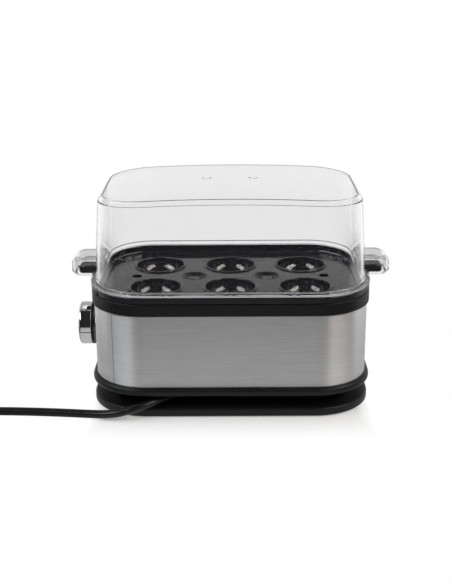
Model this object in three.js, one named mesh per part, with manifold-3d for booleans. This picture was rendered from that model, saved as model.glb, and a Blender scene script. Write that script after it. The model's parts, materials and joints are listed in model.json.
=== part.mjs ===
// Six-egg cooker with a clear lid, in millimetres.
// +Z is up, +X runs along the body and -Y is the front. The origin is on the table under the body's middle.

import * as THREE from 'three';
import { mergeVertices } from 'three/addons/utils/BufferGeometryUtils.js';
import Module from 'manifold-3d';

const wasm = await Module();
wasm.setup();

// Gaps and overruns shared by all pieces
const fit = 0.3;
const slideFit = 0.5;
const overrun = 5;

// The body's outline, which every moulding follows at its own offset
const body = {
  width: 211.5,
  depth: 143,
  cornerRadius: 42,
};

const plate = {
  proud: 0.8,
  height: 6.5,
  offset: 2.1,
  wall: 2.4,
  skin: 2.4,
  edge: 1.4,
};

const channel = {
  height: 9.8,
};

const ring = {
  height: 6.5,
  offset: 3.1,
  edge: 2.4,
};

const housing = {
  neckInset: 14.5,
  neckFillet: 2,
  wall: 2.4,
  floor: 1.6,
  flange: 2.8,
  spigotInset: 1.3,
  spigotWall: 2,
  spigotHeight: 6,
  pocketDepth: 14,
  bossRadius: 5,
  bossHeight: 9,
  postRadius: 4,
  postHeight: 6,
};

const sleeve = {
  height: 57.5,
  wall: 0.9,
  knobHoleRadius: 5.7,
};

const collar = {
  height: 9.6,
  offset: 1.6,
  edge: 0.7,
  mouthInset: 2.9,
  seatInset: 11,
  seatDrop: 6.7,
  seatThickness: 2,
  skirtInset: 1.2,
  skirtWall: 2,
  skirtDepth: 5.6,
  pillarInset: 7.4,
  pillarRadius: 3.6,
};

const seal = {
  thickness: 0.7,
  width: 6,
};

const pan = {
  sheet: 0.8,
  flangeInset: 3.6,
  wallInset: 11.7,
  draft: 2,
  depth: 20.4,
  fillet: 5,
};

// The cups are spaced in shares of the body's width and depth
const eggs = {
  perRow: 3,
  rows: 2,
  columnPitchShare: 0.2742,
  rowPitchShare: 0.4056,
};

const tray = {
  rimHeight: 5,
  rimEdge: 0.8,
  rimInnerInset: 3,
  plateInset: 5.6,
  plateDepth: 6,
  plateThickness: 2,
  spigotDepth: 4,
  spigotWall: 2,
};

const cup = {
  lipRadius: 21.2,
  lipHeight: 0.8,
  lipWidth: 1.9,
  depth: 17,
  wall: 1.8,
  stepRadius: 15.6,
  stepDepth: 9,
  stepWidth: 1.4,
  bottomRadius: 10,
};

const dimple = {
  radius: 11,
  depth: 3.2,
};

const steamHole = {
  radius: 4.2,
  inset: 25.15,
};

const lug = {
  reach: 14.4,
  width: 22,
  height: 9.9,
  rise: 0.9,
  neck: 4.2,
  wallGap: 0.9,
  cornerRadius: 6,
};

const lid = {
  flangeOffset: 1.8,
  flangeThickness: 3,
  flangeEdge: 0.6,
  wall: 2.4,
  baseInset: 1.5,
  topInset: 5.6,
  wallHeight: 63.9,
  edgeInset: 3.2,
  edgeRise: 3.85,
  crown: 4.15,
};

const vent = {
  radius: 3.65,
  spacing: 36.4,
  behindMiddle: 11.8,
};

const nub = {
  width: 2.4,
  gap: 3,
  thickness: 1.5,
  drop: 1.2,
  height: 3.4,
  spacing: 47.2,
};

const hood = {
  reach: 20,
  width: 29,
  height: 14.5,
  drop: 0.8,
  wall: 2.4,
  planRadius: 8,
  topRadius: 10.5,
  bottomChamfer: 3,
};

const knob = {
  radius: 17.4,
  length: 11.6,
  wall: 1.7,
  face: 2,
  edge: 1.3,
  skirt: 1.8,
  wallGap: 4,
  belowRim: 29.8,
  hubRadius: 6.4,
  grooveWidth: 6.5,
  grooveDepth: 1,
  grooveLengthShare: 0.55,
};
const pointerDegrees = 37;

const shaft = {
  radius: 3,
  seatDepth: 9,
  flatShare: 0.6,
};

const control = {
  length: 24,
  width: 36,
  height: 20.6,
  corner: 2,
  bushRadius: 4.8,
  bushReach: 1.6,
  boreDepth: 10,
  tabWidth: 6.3,
  tabThickness: 0.8,
  tabLength: 5,
};

const bracket = {
  sheet: 1.6,
  width: 44,
  height: 44,
  foot: 10,
  holeRadius: 5.4,
};

const nut = {
  radius: 7.6,
  thickness: 1.7,
};

const spreader = {
  endInset: 23.05,
  width: 74,
  thickness: 3,
  corner: 14,
};

const element = {
  radius: 3.25,
  endInset: 12,
  sideInset: 9,
  corner: 12,
  endSpacing: 25,
  endDrop: 16,
  tabWidth: 6.3,
  tabThickness: 0.8,
  tabLength: 8,
};

const strap = {
  thickness: 1.2,
  foot: 6,
};

const elementClamp = {
  width: 9,
};

const thermostat = {
  radius: 8,
  rimRadius: 9.2,
  rimHeight: 1.6,
  height: 6.4,
  placeShare: 0.56,
};

const fuse = {
  radius: 3.6,
  length: 24,
  clipWidth: 7,
  placeShare: 0.5,
};

const terminal = {
  length: 30,
  width: 16,
  height: 11,
  endInset: 11.3,
  towerRadius: 3.9,
  towerHeight: 2.4,
  screwRadius: 2.4,
  screwDepth: 3,
  corner: 1,
};

const wire = {
  radius: 1.3,
};

const earthScrew = {
  headRadius: 4,
  headHeight: 2.2,
  inset: 12,
};

const foot = {
  radius: 7,
  height: 4.6,
  edge: 0.8,
  bossWall: 2,
  bossClear: 1.1,
  insetX: 31.75,
  insetY: 27.5,
};

const plateScrew = {
  radius: 1.5,
  headRadius: 3.2,
  headHeight: 1.6,
  length: 8,
  bossRadius: 4.6,
  bossDrop: 2,
  insetX: 6.85,
  insetY: 34.6,
};

const housingScrew = {
  radius: 1.5,
  headRadius: 3,
  headHeight: 2.4,
  length: 14,
  sinkDepth: 6.4,
};

const bracketScrew = {
  radius: 1.4,
  headRadius: 2.6,
  headHeight: 1.6,
  length: 1.8,
  fromMiddle: 15,
};

// The mains lead
const lead = {
  radius: 3.25,
  exitX: 2,
  exitInset: 8.5,
  reliefLength: 26,
  reliefRadius: 4.6,
  reliefTipRadius: 3.9,
  reliefGrooves: 3,
  grooveWidth: 1.4,
  grooveDepth: 0.8,
  neckRadius: 3.9,
  flangeRadius: 4.6,
  flangeThickness: 1.6,
  coreRun: 15,
  clampWall: 1.6,
  clampWidth: 8,
  clampFoot: 9,
  slotHalfWidth: 3.9,
};

// The coil of lead that is put away beside the body: it winds in, climbs a layer and winds out
const coil = {
  centreX: -236,
  centreY: -28.2,
  outerRadius: 39.5,
  innerRadius: 32.1,
  layerRise: 7,
  liftForTie: 1.1,
  plugRun: 36,
};
const coilTurnsPerLayer = 0.875;
const coilClimbTurns = 0.5;
const coilStepsPerTurn = 24;

const tie = {
  thickness: 0.8,
  width: 7,
  clearance: 0.9,
};
const tieDegrees = -135;

const plug = {
  sleeveRadius: 4.6,
  sleeveEndRadius: 6.4,
  sleeveLength: 20,
  gripRadius: 13,
  gripLength: 12,
  faceRadius: 17.4,
  faceLength: 20,
  flankShare: 0.93,
  recessRadius: 15.6,
  recessDepth: 1.2,
  pinRadius: 2.4,
  pinLength: 19,
  pinSpacing: 19,
  pinHoleDepth: 4,
};

const cornerSteps = 6;
const hiddenCornerSteps = 5;

// Levels, from the table up
const plateTop = plate.proud + plate.height;
const neckBottom = plateTop + fit;
const neckFloorTop = neckBottom + housing.floor;
const ringBottom = plateTop + channel.height;
const flangeTop = ringBottom + housing.flange;
const ringTop = ringBottom + ring.height;
const sleeveTop = ringTop + sleeve.height;
const knobLevel = sleeveTop - knob.belowRim;
const collarTop = sleeveTop + collar.height;
const panSeat = collarTop - collar.seatDrop;
const sealTop = panSeat + fit + seal.thickness;
const panFlangeBottom = sealTop + fit;
const panFlangeTop = panFlangeBottom + pan.sheet;
const panUnderside = panFlangeBottom - pan.depth;
const trayRimBottom = collarTop + fit;
const trayRimTop = trayRimBottom + tray.rimHeight;
const trayTop = trayRimTop - tray.plateDepth;
const trayUnderside = trayTop - tray.plateThickness;
const lidBottom = trayRimTop + fit;
const lidEdge = lidBottom + lid.wallHeight;
const lidTop = lidEdge + lid.edgeRise;

const halfWidth = body.width / 2;
const halfDepth = body.depth / 2;
const columnPitch = body.width * eggs.columnPitchShare;
const rowPitch = body.depth * eggs.rowPitchShare;

// Inside faces of the neck's walls, and what stands on its floor
const neckInsideX = halfWidth - housing.neckInset - housing.wall;
const neckInsideY = halfDepth - housing.neckInset - housing.wall;
const plateScrewX = neckInsideX - plateScrew.insetX;
const plateScrewY = neckInsideY - plateScrew.insetY;
const footX = halfWidth - foot.insetX;
const footY = halfDepth - foot.insetY;

// Where the lead leaves the neck
const exitY = -halfDepth + housing.neckInset + lead.exitInset;

// Materials
const matte = (color, roughness) => new THREE.MeshStandardMaterial({ color, roughness });
const metal = (color, roughness) => new THREE.MeshStandardMaterial({ color, roughness, metalness: 1 });
const looks = {
  blackPlastic: () => matte(0x141415, 0.45),
  glossBlack: () => matte(0x1b1b1d, 0.2),
  clear: () => new THREE.MeshStandardMaterial({
    color: 0xe8eaec, roughness: 0.08, transparent: true, opacity: 0.3,
  }),
  steel: () => metal(0x9c9c9c, 0.35),
  chrome: () => metal(0xd8d8d8, 0.08),
  zinc: () => metal(0xb0b0a8, 0.4),
  brass: () => metal(0xb89c58, 0.35),
  aluminium: () => metal(0xb8bbbe, 0.4),
  rubber: () => matte(0x0f0f10, 0.8),
  silicone: () => matte(0xa03020, 0.6),
  ceramic: () => matte(0xe6e0d4, 0.6),
  redWire: () => matte(0x6b3a1e, 0.5),
  blueWire: () => matte(0x2450a0, 0.5),
  earthWire: () => matte(0x8aa822, 0.5),
};

// Geometry helpers

// One ring of points on the body's rounded outline grown by offset, at height z
function outline(offset, z, steps = cornerSteps) {
  const radius = body.cornerRadius + offset;
  const centreX = halfWidth + offset - radius;
  const centreY = halfDepth + offset - radius;
  const points = [];
  for (let corner = 0; corner < 4; corner++) {
    const signX = corner === 0 || corner === 3 ? 1 : -1;
    const signY = corner < 2 ? 1 : -1;
    for (let i = 0; i <= steps; i++) {
      const angle = (corner + i / steps) * Math.PI / 2;
      points.push(new THREE.Vector3(
        signX * centreX + radius * Math.cos(angle),
        signY * centreY + radius * Math.sin(angle),
        z,
      ));
    }
  }
  return points;
}

// Skins rings with equal numbers of points. An open skin is capped at both ends; a loop joins its last
// ring to its first. Outer faces run upwards through the list, inner faces downwards.
function skin(rings, loop = false) {
  const count = rings[0].length;
  const points = rings.flat();
  const index = [];
  const spans = loop ? rings.length : rings.length - 1;
  for (let span = 0; span < spans; span++) {
    const low = span * count;
    const high = ((span + 1) % rings.length) * count;
    for (let i = 0; i < count; i++) {
      const next = (i + 1) % count;
      index.push(low + i, low + next, high + next);
      index.push(low + i, high + next, high + i);
    }
  }
  if (!loop) {
    const last = (rings.length - 1) * count;
    const firstMiddle = points.length;
    points.push(middleOf(rings[0]), middleOf(rings[rings.length - 1]));
    for (let i = 0; i < count; i++) {
      const next = (i + 1) % count;
      index.push(firstMiddle, next, i);
      index.push(firstMiddle + 1, last + i, last + next);
    }
  }
  const geometry = new THREE.BufferGeometry().setFromPoints(points);
  geometry.setIndex(index);
  return geometry;
}

function middleOf(points) {
  const sum = new THREE.Vector3();
  for (const point of points) sum.add(point);
  return sum.divideScalar(points.length);
}

// Turns a list of [offset, z] pairs into rings of the body's outline
function rings(profile, steps = cornerSteps) {
  return profile.map(([offset, z]) => outline(offset, z, steps));
}

// Points of a quarter round in an [offset, z] profile, between two angles in quarter turns
function round(offset, z, radius, from, to, steps = 2) {
  const points = [];
  for (let i = 0; i <= steps; i++) {
    const angle = (from + (to - from) * i / steps) * Math.PI / 2;
    points.push([offset + radius * Math.cos(angle), z + radius * Math.sin(angle)]);
  }
  return points;
}

// A closed geometry as a solid that can be joined and cut
function solid(geometry) {
  const bare = geometry.clone();
  for (const name of Object.keys(bare.attributes)) {
    if (name !== 'position') bare.deleteAttribute(name);
  }
  const merged = mergeVertices(bare);
  const corners = merged.index.array;
  const kept = [];
  for (let i = 0; i < corners.length; i += 3) {
    const [a, b, c] = [corners[i], corners[i + 1], corners[i + 2]];
    if (a !== b && b !== c && c !== a) kept.push(a, b, c);
  }
  return new wasm.Manifold(new wasm.Mesh({
    numProp: 3,
    vertProperties: new Float32Array(merged.attributes.position.array),
    triVerts: new Uint32Array(kept),
  }));
}

function join(first, ...others) {
  return others.reduce((sum, other) => sum.add(other), first);
}

function cut(first, ...others) {
  return others.reduce((rest, other) => rest.subtract(other), first);
}

// A box between two corners
function block(low, high) {
  const size = high.map((value, axis) => value - low[axis]);
  const middle = high.map((value, axis) => (value + low[axis]) / 2);
  const geometry = new THREE.BoxGeometry(...size);
  geometry.translate(...middle);
  return solid(geometry);
}

// A shape drawn in X and Y, raised from one height to another
function prism(shape, low, high, curveSegments = cornerSteps) {
  const geometry = new THREE.ExtrudeGeometry(shape, {
    depth: high - low,
    bevelEnabled: false,
    curveSegments,
  });
  geometry.translate(0, 0, low);
  return geometry;
}

function roundedRectangle(width, depth, radius) {
  const x = width / 2 - radius;
  const y = depth / 2 - radius;
  const shape = new THREE.Shape();
  shape.absarc(x, y, radius, 0, Math.PI / 2);
  shape.absarc(-x, y, radius, Math.PI / 2, Math.PI);
  shape.absarc(-x, -y, radius, Math.PI, Math.PI * 3 / 2);
  shape.absarc(x, -y, radius, Math.PI * 3 / 2, Math.PI * 2);
  return shape;
}

// A body of revolution about a vertical axis at (x, y), from [radius, z] pairs
function turned(profile, x, y, sides) {
  const geometry = new THREE.LatheGeometry(
    profile.map(([radius, z]) => new THREE.Vector2(radius, z)),
    sides,
  );
  geometry.rotateX(Math.PI / 2);
  geometry.translate(x, y, 0);
  return geometry;
}

function post(x, y, low, high, radius, sides = 12) {
  return solid(turned([[0, low], [radius, low], [radius, high], [0, high]], x, y, sides));
}

// The same about a level axis along X at (y, z), from [radius, x] pairs
function turnedAlongX(profile, y, z, sides) {
  const geometry = new THREE.LatheGeometry(
    profile.map(([radius, x]) => new THREE.Vector2(radius, x)),
    sides,
  );
  geometry.rotateZ(-Math.PI / 2);
  geometry.translate(0, y, z);
  return geometry;
}

function axle(low, high, y, z, radius, sides = 20) {
  return solid(turnedAlongX([[0, low], [radius, low], [radius, high], [0, high]], y, z, sides));
}

// A round section swept along a smooth curve through the points
function tube(points, radius, sides, steps) {
  const section = [];
  for (let i = 0; i < sides; i++) {
    const angle = i / sides * Math.PI * 2;
    section.push(new THREE.Vector2(radius * Math.cos(angle), radius * Math.sin(angle)));
  }
  return new THREE.ExtrudeGeometry(new THREE.Shape(section), {
    steps,
    extrudePath: new THREE.CatmullRomCurve3(points, false, 'centripetal'),
    bevelEnabled: false,
  });
}

function spot(x, y, z) {
  return new THREE.Vector3(x, y, z);
}

const assembly = new THREE.Group();

function add(name, made, look) {
  const source = (made.isBufferGeometry ? solid(made) : made).getMesh();
  const geometry = new THREE.BufferGeometry();
  const positions = new Float32Array(source.vertProperties);
  geometry.setAttribute('position', new THREE.BufferAttribute(positions, source.numProp));
  geometry.setIndex(new THREE.BufferAttribute(new Uint32Array(source.triVerts), 1));
  const flat = geometry.toNonIndexed();
  flat.computeVertexNormals();
  const mesh = new THREE.Mesh(flat, look());
  mesh.name = name;
  assembly.add(mesh);
}

const quarters = [
  ['front_left', -1, -1],
  ['front_right', 1, -1],
  ['rear_left', -1, 1],
  ['rear_right', 1, 1],
];

// Foot plate: a shallow tray turned upside down, with bosses for the feet and its screws

function footPlate() {
  const cavity = plate.offset - plate.wall;
  const ceiling = plateTop - plate.skin;
  const inner = plate.offset - plate.edge;
  let made = solid(skin(rings([
    [cavity, ceiling],
    [cavity, plate.proud],
    ...round(inner, plate.proud + plate.edge, plate.edge, -1, 0),
    ...round(inner, plateTop - plate.edge, plate.edge, 0, 1),
  ])));
  for (const [, sideX, sideY] of quarters) {
    const outer = foot.radius + fit + foot.bossWall;
    made = join(made, post(
      sideX * footX, sideY * footY, foot.bossClear, ceiling + plate.skin / 2, outer,
    ));
    made = cut(made, post(sideX * footX, sideY * footY, 0, ceiling, foot.radius + fit, 18));
    const x = sideX * plateScrewX;
    const y = sideY * plateScrewY;
    const seat = ceiling - plateScrew.bossDrop;
    made = join(made, post(x, y, seat, ceiling + plate.skin / 2, plateScrew.bossRadius));
    made = cut(
      made,
      post(x, y, 0, plateTop + overrun, plateScrew.radius + fit, 12),
      post(x, y, 0, seat + plateScrew.headHeight, plateScrew.headRadius + fit, 12),
    );
  }
  return made;
}

add('foot_plate', footPlate(), looks.blackPlastic);

for (const [name, sideX, sideY] of quarters) {
  const profile = [
    [0, 0],
    [foot.radius - foot.edge, 0],
    [foot.radius, foot.edge],
    [foot.radius, foot.height],
    [0, foot.height],
  ];
  const made = turned(profile, sideX * footX, sideY * footY, 18);
  add(`rubber_foot_${name}`, made, looks.rubber);
}

const plateScrewHeadTop = plateTop - plate.skin - plateScrew.bossDrop + plateScrew.headHeight - fit;

for (const [name, sideX, sideY] of quarters) {
  add(`foot_plate_screw_${name}`, turned([
    [0, plateScrewHeadTop - plateScrew.headHeight],
    [plateScrew.headRadius, plateScrewHeadTop - plateScrew.headHeight],
    [plateScrew.headRadius, plateScrewHeadTop],
    [plateScrew.radius, plateScrewHeadTop],
    [plateScrew.radius, plateScrewHeadTop + plateScrew.length],
    [0, plateScrewHeadTop + plateScrew.length],
  ], sideX * plateScrewX, sideY * plateScrewY, 12), looks.zinc);
}

// Base housing: neck of the cord channel, rounded ring and the spigot that the steel wall slips over

const pillarX = halfWidth - body.cornerRadius
  + (body.cornerRadius - collar.pillarInset) * Math.SQRT1_2;
const pillarY = halfDepth - body.cornerRadius
  + (body.cornerRadius - collar.pillarInset) * Math.SQRT1_2;
const housingBossTop = ringBottom + housing.bossHeight;
const pocketY = -halfDepth + housing.neckInset + housing.pocketDepth;

function baseHousing() {
  const neck = -housing.neckInset;
  const spigot = -housing.spigotInset;
  const spigotInner = spigot - housing.spigotWall;
  const inner = ring.offset - ring.edge;
  let made = solid(skin(rings([
    [neck - housing.neckFillet, neckBottom],
    [neck, neckBottom + housing.neckFillet],
    [neck, ringBottom],
    ...round(inner, ringBottom + ring.edge, ring.edge, -1, 0),
    ...round(inner, ringTop - ring.edge, ring.edge, 0, 1),
    [spigot, ringTop],
    [spigot, ringTop + housing.spigotHeight],
    [spigotInner, ringTop + housing.spigotHeight],
    [spigotInner, flangeTop],
  ])));
  const far = body.width;
  const pocket = block([-far, -far, 0], [lead.exitX, pocketY, ringBottom]);
  const keptBehind = block(
    [-far, -far, 0],
    [lead.exitX + housing.wall, pocketY + housing.wall, flangeTop],
  );
  const cavity = solid(skin(rings([
    [neck - housing.wall, neckFloorTop],
    [neck - housing.wall, flangeTop + overrun],
  ], hiddenCornerSteps)));
  made = cut(made, pocket, cavity.subtract(keptBehind));

  // The hole for the lead and the slot that its tail lies in
  made = cut(
    made,
    axle(
      lead.exitX - overrun, lead.exitX + overrun, exitY, leadLevel, lead.neckRadius + fit, 12,
    ),
    block(
      [wallInside, exitY - lead.slotHalfWidth, 0],
      [tailEnd + fit, exitY + lead.slotHalfWidth, leadLevel - lead.radius / 2],
    ),
  );

  for (const [, sideX, sideY] of quarters) {
    const x = sideX * pillarX;
    const y = sideY * pillarY;
    made = join(made, post(x, y, ringBottom, housingBossTop, housing.bossRadius));
    made = cut(
      made,
      post(x, y, 0, ringBottom + housingScrew.sinkDepth, housingScrew.headRadius + fit, 12),
      post(x, y, 0, housingBossTop + overrun, housingScrew.radius + fit, 12),
    );
    const postX = sideX * plateScrewX;
    const postY = sideY * plateScrewY;
    const postTop = neckFloorTop + housing.postHeight;
    const low = neckBottom + housing.floor / 2;
    made = join(made, post(postX, postY, low, postTop, housing.postRadius, 14));
    made = cut(made, post(postX, postY, 0, postTop + overrun, plateScrew.radius + fit, 12));
  }
  for (const side of [-1, 1]) {
    const x = -bracketFootX;
    made = cut(made, post(
      x, side * bracketScrew.fromMiddle, 0, flangeTop + overrun, bracketScrew.radius + fit, 10,
    ));
  }
  return made;
}

const leadLevel = (plateTop + ringBottom) / 2;
const reliefTip = lead.exitX - lead.reliefLength;
const wallInside = lead.exitX + housing.wall;
const tailStart = wallInside + fit + lead.flangeThickness + fit;
const terminalX = neckInsideX - terminal.endInset - terminal.length / 2;
const tailEnd = terminalX - terminal.length / 2 - lead.coreRun;
const bracketPlaneX = halfWidth - housing.spigotInset - housing.spigotWall - slideFit;
const bracketFootX = bracketPlaneX - bracket.sheet - bracket.foot / 2;

add('base_housing', baseHousing(), looks.blackPlastic);

// Steel sleeve between the ring and the collar

const sleeveLow = ringTop + fit;
const sleeveHigh = sleeveTop - fit;

function steelSleeve() {
  const made = solid(skin(rings([
    [0, sleeveLow],
    [0, sleeveHigh],
    [-sleeve.wall, sleeveHigh],
    [-sleeve.wall, sleeveLow],
  ]), true));
  return cut(made, axle(
    -halfWidth - overrun, -halfWidth + overrun, 0, knobLevel, sleeve.knobHoleRadius, 24,
  ));
}

add('steel_sleeve', steelSleeve(), looks.steel);

// Rim collar: the band over the steel, the pan's seat and four screw pillars

function rimCollar() {
  const skirt = -collar.skirtInset;
  const skirtInner = skirt - collar.skirtWall;
  const seatUnder = panSeat - collar.seatThickness;
  const inner = collar.offset - collar.edge;
  let made = solid(skin(rings([
    ...round(inner, sleeveTop + collar.edge, collar.edge, -1, 0),
    ...round(inner, collarTop - collar.edge, collar.edge, 0, 1),
    [-collar.mouthInset, collarTop],
    [-collar.mouthInset, panSeat],
    [-collar.seatInset, panSeat],
    [-collar.seatInset, seatUnder],
    [skirtInner, seatUnder],
    [skirtInner, sleeveTop - collar.skirtDepth],
    [skirt, sleeveTop - collar.skirtDepth],
    [skirt, sleeveTop],
  ]), true));
  const pillarLow = housingBossTop + fit;
  for (const [, sideX, sideY] of quarters) {
    const x = sideX * pillarX;
    const y = sideY * pillarY;
    const bore = housingScrewHeadTop + housingScrew.length + slideFit;
    made = join(made, post(x, y, pillarLow, panSeat - fit, collar.pillarRadius, 14));
    made = cut(made, post(x, y, 0, bore, housingScrew.radius + fit, 12));
  }
  return made;
}

const housingScrewHeadTop = ringBottom + housingScrew.sinkDepth - fit;

add('rim_collar', rimCollar(), looks.blackPlastic);

for (const [name, sideX, sideY] of quarters) {
  add(`housing_screw_${name}`, turned([
    [0, housingScrewHeadTop - housingScrew.headHeight],
    [housingScrew.headRadius, housingScrewHeadTop - housingScrew.headHeight],
    [housingScrew.headRadius, housingScrewHeadTop],
    [housingScrew.radius, housingScrewHeadTop],
    [housingScrew.radius, housingScrewHeadTop + housingScrew.length],
    [0, housingScrewHeadTop + housingScrew.length],
  ], sideX * pillarX, sideY * pillarY, 12), looks.zinc);
}

// Water pan on its silicone ring

const sealOuter = -collar.mouthInset - slideFit - fit;

add('pan_seal', skin(rings([
  [sealOuter, panSeat + fit],
  [sealOuter, sealTop],
  [sealOuter - seal.width, sealTop],
  [sealOuter - seal.width, panSeat + fit],
], hiddenCornerSteps), true), looks.silicone);

function heatingPan() {
  const foot = -pan.wallInset - pan.draft;
  const steps = 3;
  const insideRadius = pan.fillet - pan.sheet;
  return skin(rings([
    ...round(foot - pan.fillet, panUnderside + pan.fillet, pan.fillet, -1, 0, steps),
    [-pan.wallInset, panFlangeBottom],
    [-pan.flangeInset, panFlangeBottom],
    [-pan.flangeInset, panFlangeTop],
    [-pan.wallInset - pan.sheet, panFlangeTop],
    ...round(foot - pan.fillet, panUnderside + pan.fillet, insideRadius, 0, -1, steps),
  ]));
}

add('heating_pan', heatingPan(), looks.aluminium);

// Heat spreader, tubular element and what holds them under the pan

const spreaderLength = (
  halfWidth - pan.wallInset - pan.draft - pan.fillet - spreader.endInset
) * 2;
const elementX = spreaderLength / 2 - element.endInset;
const elementY = spreader.width / 2 - element.sideInset;
const spreaderTop = panUnderside - fit;
const spreaderBottom = spreaderTop - spreader.thickness;
const elementLevel = spreaderBottom - slideFit - element.radius;

add('heat_spreader', prism(
  roundedRectangle(spreaderLength, spreader.width, spreader.corner), spreaderTop - spreader.thickness,
  spreaderTop, hiddenCornerSteps,
), looks.aluminium);

function heatingElement() {
  const x = elementX;
  const y = elementY;
  const end = element.endSpacing / 2;
  const low = elementLevel - element.endDrop;
  const bend = element.radius * 2;
  const near = bend / 3;
  const half = [
    spot(end, -y, low),
    spot(end, -y, elementLevel - bend),
    spot(end + near, -y, elementLevel - near),
    spot(end + bend, -y, elementLevel),
    spot((end + bend + x - element.corner) / 2, -y, elementLevel),
    spot(x - element.corner, -y, elementLevel),
  ];
  for (const [side, from] of [[-1, -1], [1, 0]]) {
    for (let i = 1; i <= 3; i++) {
      const angle = (from + i / 3) * Math.PI / 2;
      half.push(spot(
        x - element.corner + element.corner * Math.cos(angle),
        side * (y - element.corner) + element.corner * Math.sin(angle),
        elementLevel,
      ));
    }
    if (side < 0) half.push(spot(x, 0, elementLevel));
  }
  const other = half.map(point => spot(-point.x, point.y, point.z)).reverse();
  return tube([...half, ...other], element.radius, 6, 44);
}

add('heating_element', heatingElement(), looks.zinc);

const elementEnd = elementLevel - element.endDrop;

for (const [name, side] of [['live', -1], ['neutral', 1]]) {
  const x = side * element.endSpacing / 2;
  add(`element_terminal_${name}`, block(
    [
      x - element.tabWidth / 2,
      -elementY - element.tabThickness / 2,
      elementEnd - fit - element.tabLength,
    ],
    [
      x + element.tabWidth / 2,
      -elementY + element.tabThickness / 2,
      elementEnd - fit,
    ],
  ), looks.brass);
}

// A strap of folded sheet that holds a round piece against the spreader. It is drawn across the piece,
// with a flat foot at each side, and its width runs along Y.
function strapUnder(x, halfSpan, drop, width) {
  const top = spreaderBottom - fit;
  const bottom = top - drop;
  const outer = halfSpan + strap.thickness;
  const shape = new THREE.Shape([
    new THREE.Vector2(x - outer - strap.foot, top),
    new THREE.Vector2(x - outer - strap.foot, top - strap.thickness),
    new THREE.Vector2(x - outer, top - strap.thickness),
    new THREE.Vector2(x - outer, bottom - strap.thickness),
    new THREE.Vector2(x + outer, bottom - strap.thickness),
    new THREE.Vector2(x + outer, top - strap.thickness),
    new THREE.Vector2(x + outer + strap.foot, top - strap.thickness),
    new THREE.Vector2(x + outer + strap.foot, top),
    new THREE.Vector2(x + halfSpan, top),
    new THREE.Vector2(x + halfSpan, bottom),
    new THREE.Vector2(x - halfSpan, bottom),
    new THREE.Vector2(x - halfSpan, top),
  ]);
  const geometry = prism(shape, -width / 2, width / 2);
  geometry.rotateX(Math.PI / 2);
  return geometry;
}

for (const [name, side] of [['left', -1], ['right', 1]]) {
  add(`element_clamp_${name}`, strapUnder(
    side * elementX, element.radius + slideFit, element.radius * 2 + slideFit, elementClamp.width,
  ), looks.zinc);
}

const discTop = spreaderBottom - fit;
const clampReach = element.radius + slideFit + strap.thickness + strap.foot;
const thermostatX = (elementX - clampReach) * thermostat.placeShare;

add('thermostat', turned([
  [0, discTop - thermostat.height],
  [thermostat.radius, discTop - thermostat.height],
  [thermostat.radius, discTop - thermostat.rimHeight],
  [thermostat.rimRadius, discTop - thermostat.rimHeight],
  [thermostat.rimRadius, discTop],
  [0, discTop],
], thermostatX, 0, 20), looks.ceramic);

// This strap lies along Y, clear of the element's clamps
function thermostatStrap() {
  const geometry = strapUnder(0, thermostat.rimRadius + fit, thermostat.height + fit, strap.foot);
  geometry.rotateZ(Math.PI / 2);
  geometry.translate(thermostatX, 0, 0);
  return geometry;
}

add('thermostat_strap', thermostatStrap(), looks.zinc);

const fuseX = -(elementX - clampReach) * fuse.placeShare;
const fuseLevel = discTop - fuse.radius;

function thermalFuse() {
  const geometry = new THREE.CylinderGeometry(fuse.radius, fuse.radius, fuse.length, 14);
  geometry.translate(fuseX, 0, fuseLevel);
  return geometry;
}

add('thermal_fuse', thermalFuse(), looks.ceramic);

add('fuse_clip', strapUnder(
  fuseX, fuse.radius + fit, fuse.radius * 2 + fit, fuse.clipWidth,
), looks.zinc);

// Control unit on its bracket, behind the knob

const bracketFace = -bracketPlaneX;
const controlFace = bracketFace + bracket.sheet + fit;
const controlBack = controlFace + control.length;
const wallFace = -halfWidth;

function controlBracket() {
  const low = flangeTop + fit;
  const upright = block(
    [bracketFace, -bracket.width / 2, low],
    [bracketFace + bracket.sheet, bracket.width / 2, low + bracket.height],
  );
  const footTab = block(
    [bracketFace, -bracket.width / 2, low],
    [bracketFace + bracket.sheet + bracket.foot, bracket.width / 2, low + bracket.sheet],
  );
  let made = join(upright, footTab);
  made = cut(made, axle(
    bracketFace - overrun, bracketFace + overrun, 0, knobLevel, bracket.holeRadius,
  ));
  for (const side of [-1, 1]) {
    made = cut(made, post(
      -bracketFootX, side * bracketScrew.fromMiddle, 0, low + overrun, bracketScrew.radius + fit, 10,
    ));
  }
  return made;
}

add('control_bracket', controlBracket(), looks.zinc);

for (const [name, side] of [['front', -1], ['rear', 1]]) {
  const seat = flangeTop + fit + bracket.sheet + fit;
  add(`bracket_screw_${name}`, turned([
    [0, seat - bracketScrew.length - bracket.sheet],
    [bracketScrew.radius, seat - bracketScrew.length - bracket.sheet],
    [bracketScrew.radius, seat],
    [bracketScrew.headRadius, seat],
    [bracketScrew.headRadius, seat + bracketScrew.headHeight],
    [0, seat + bracketScrew.headHeight],
  ], -bracketFootX, side * bracketScrew.fromMiddle, 10), looks.zinc);
}

const controlTabY = control.width / 4;

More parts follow.
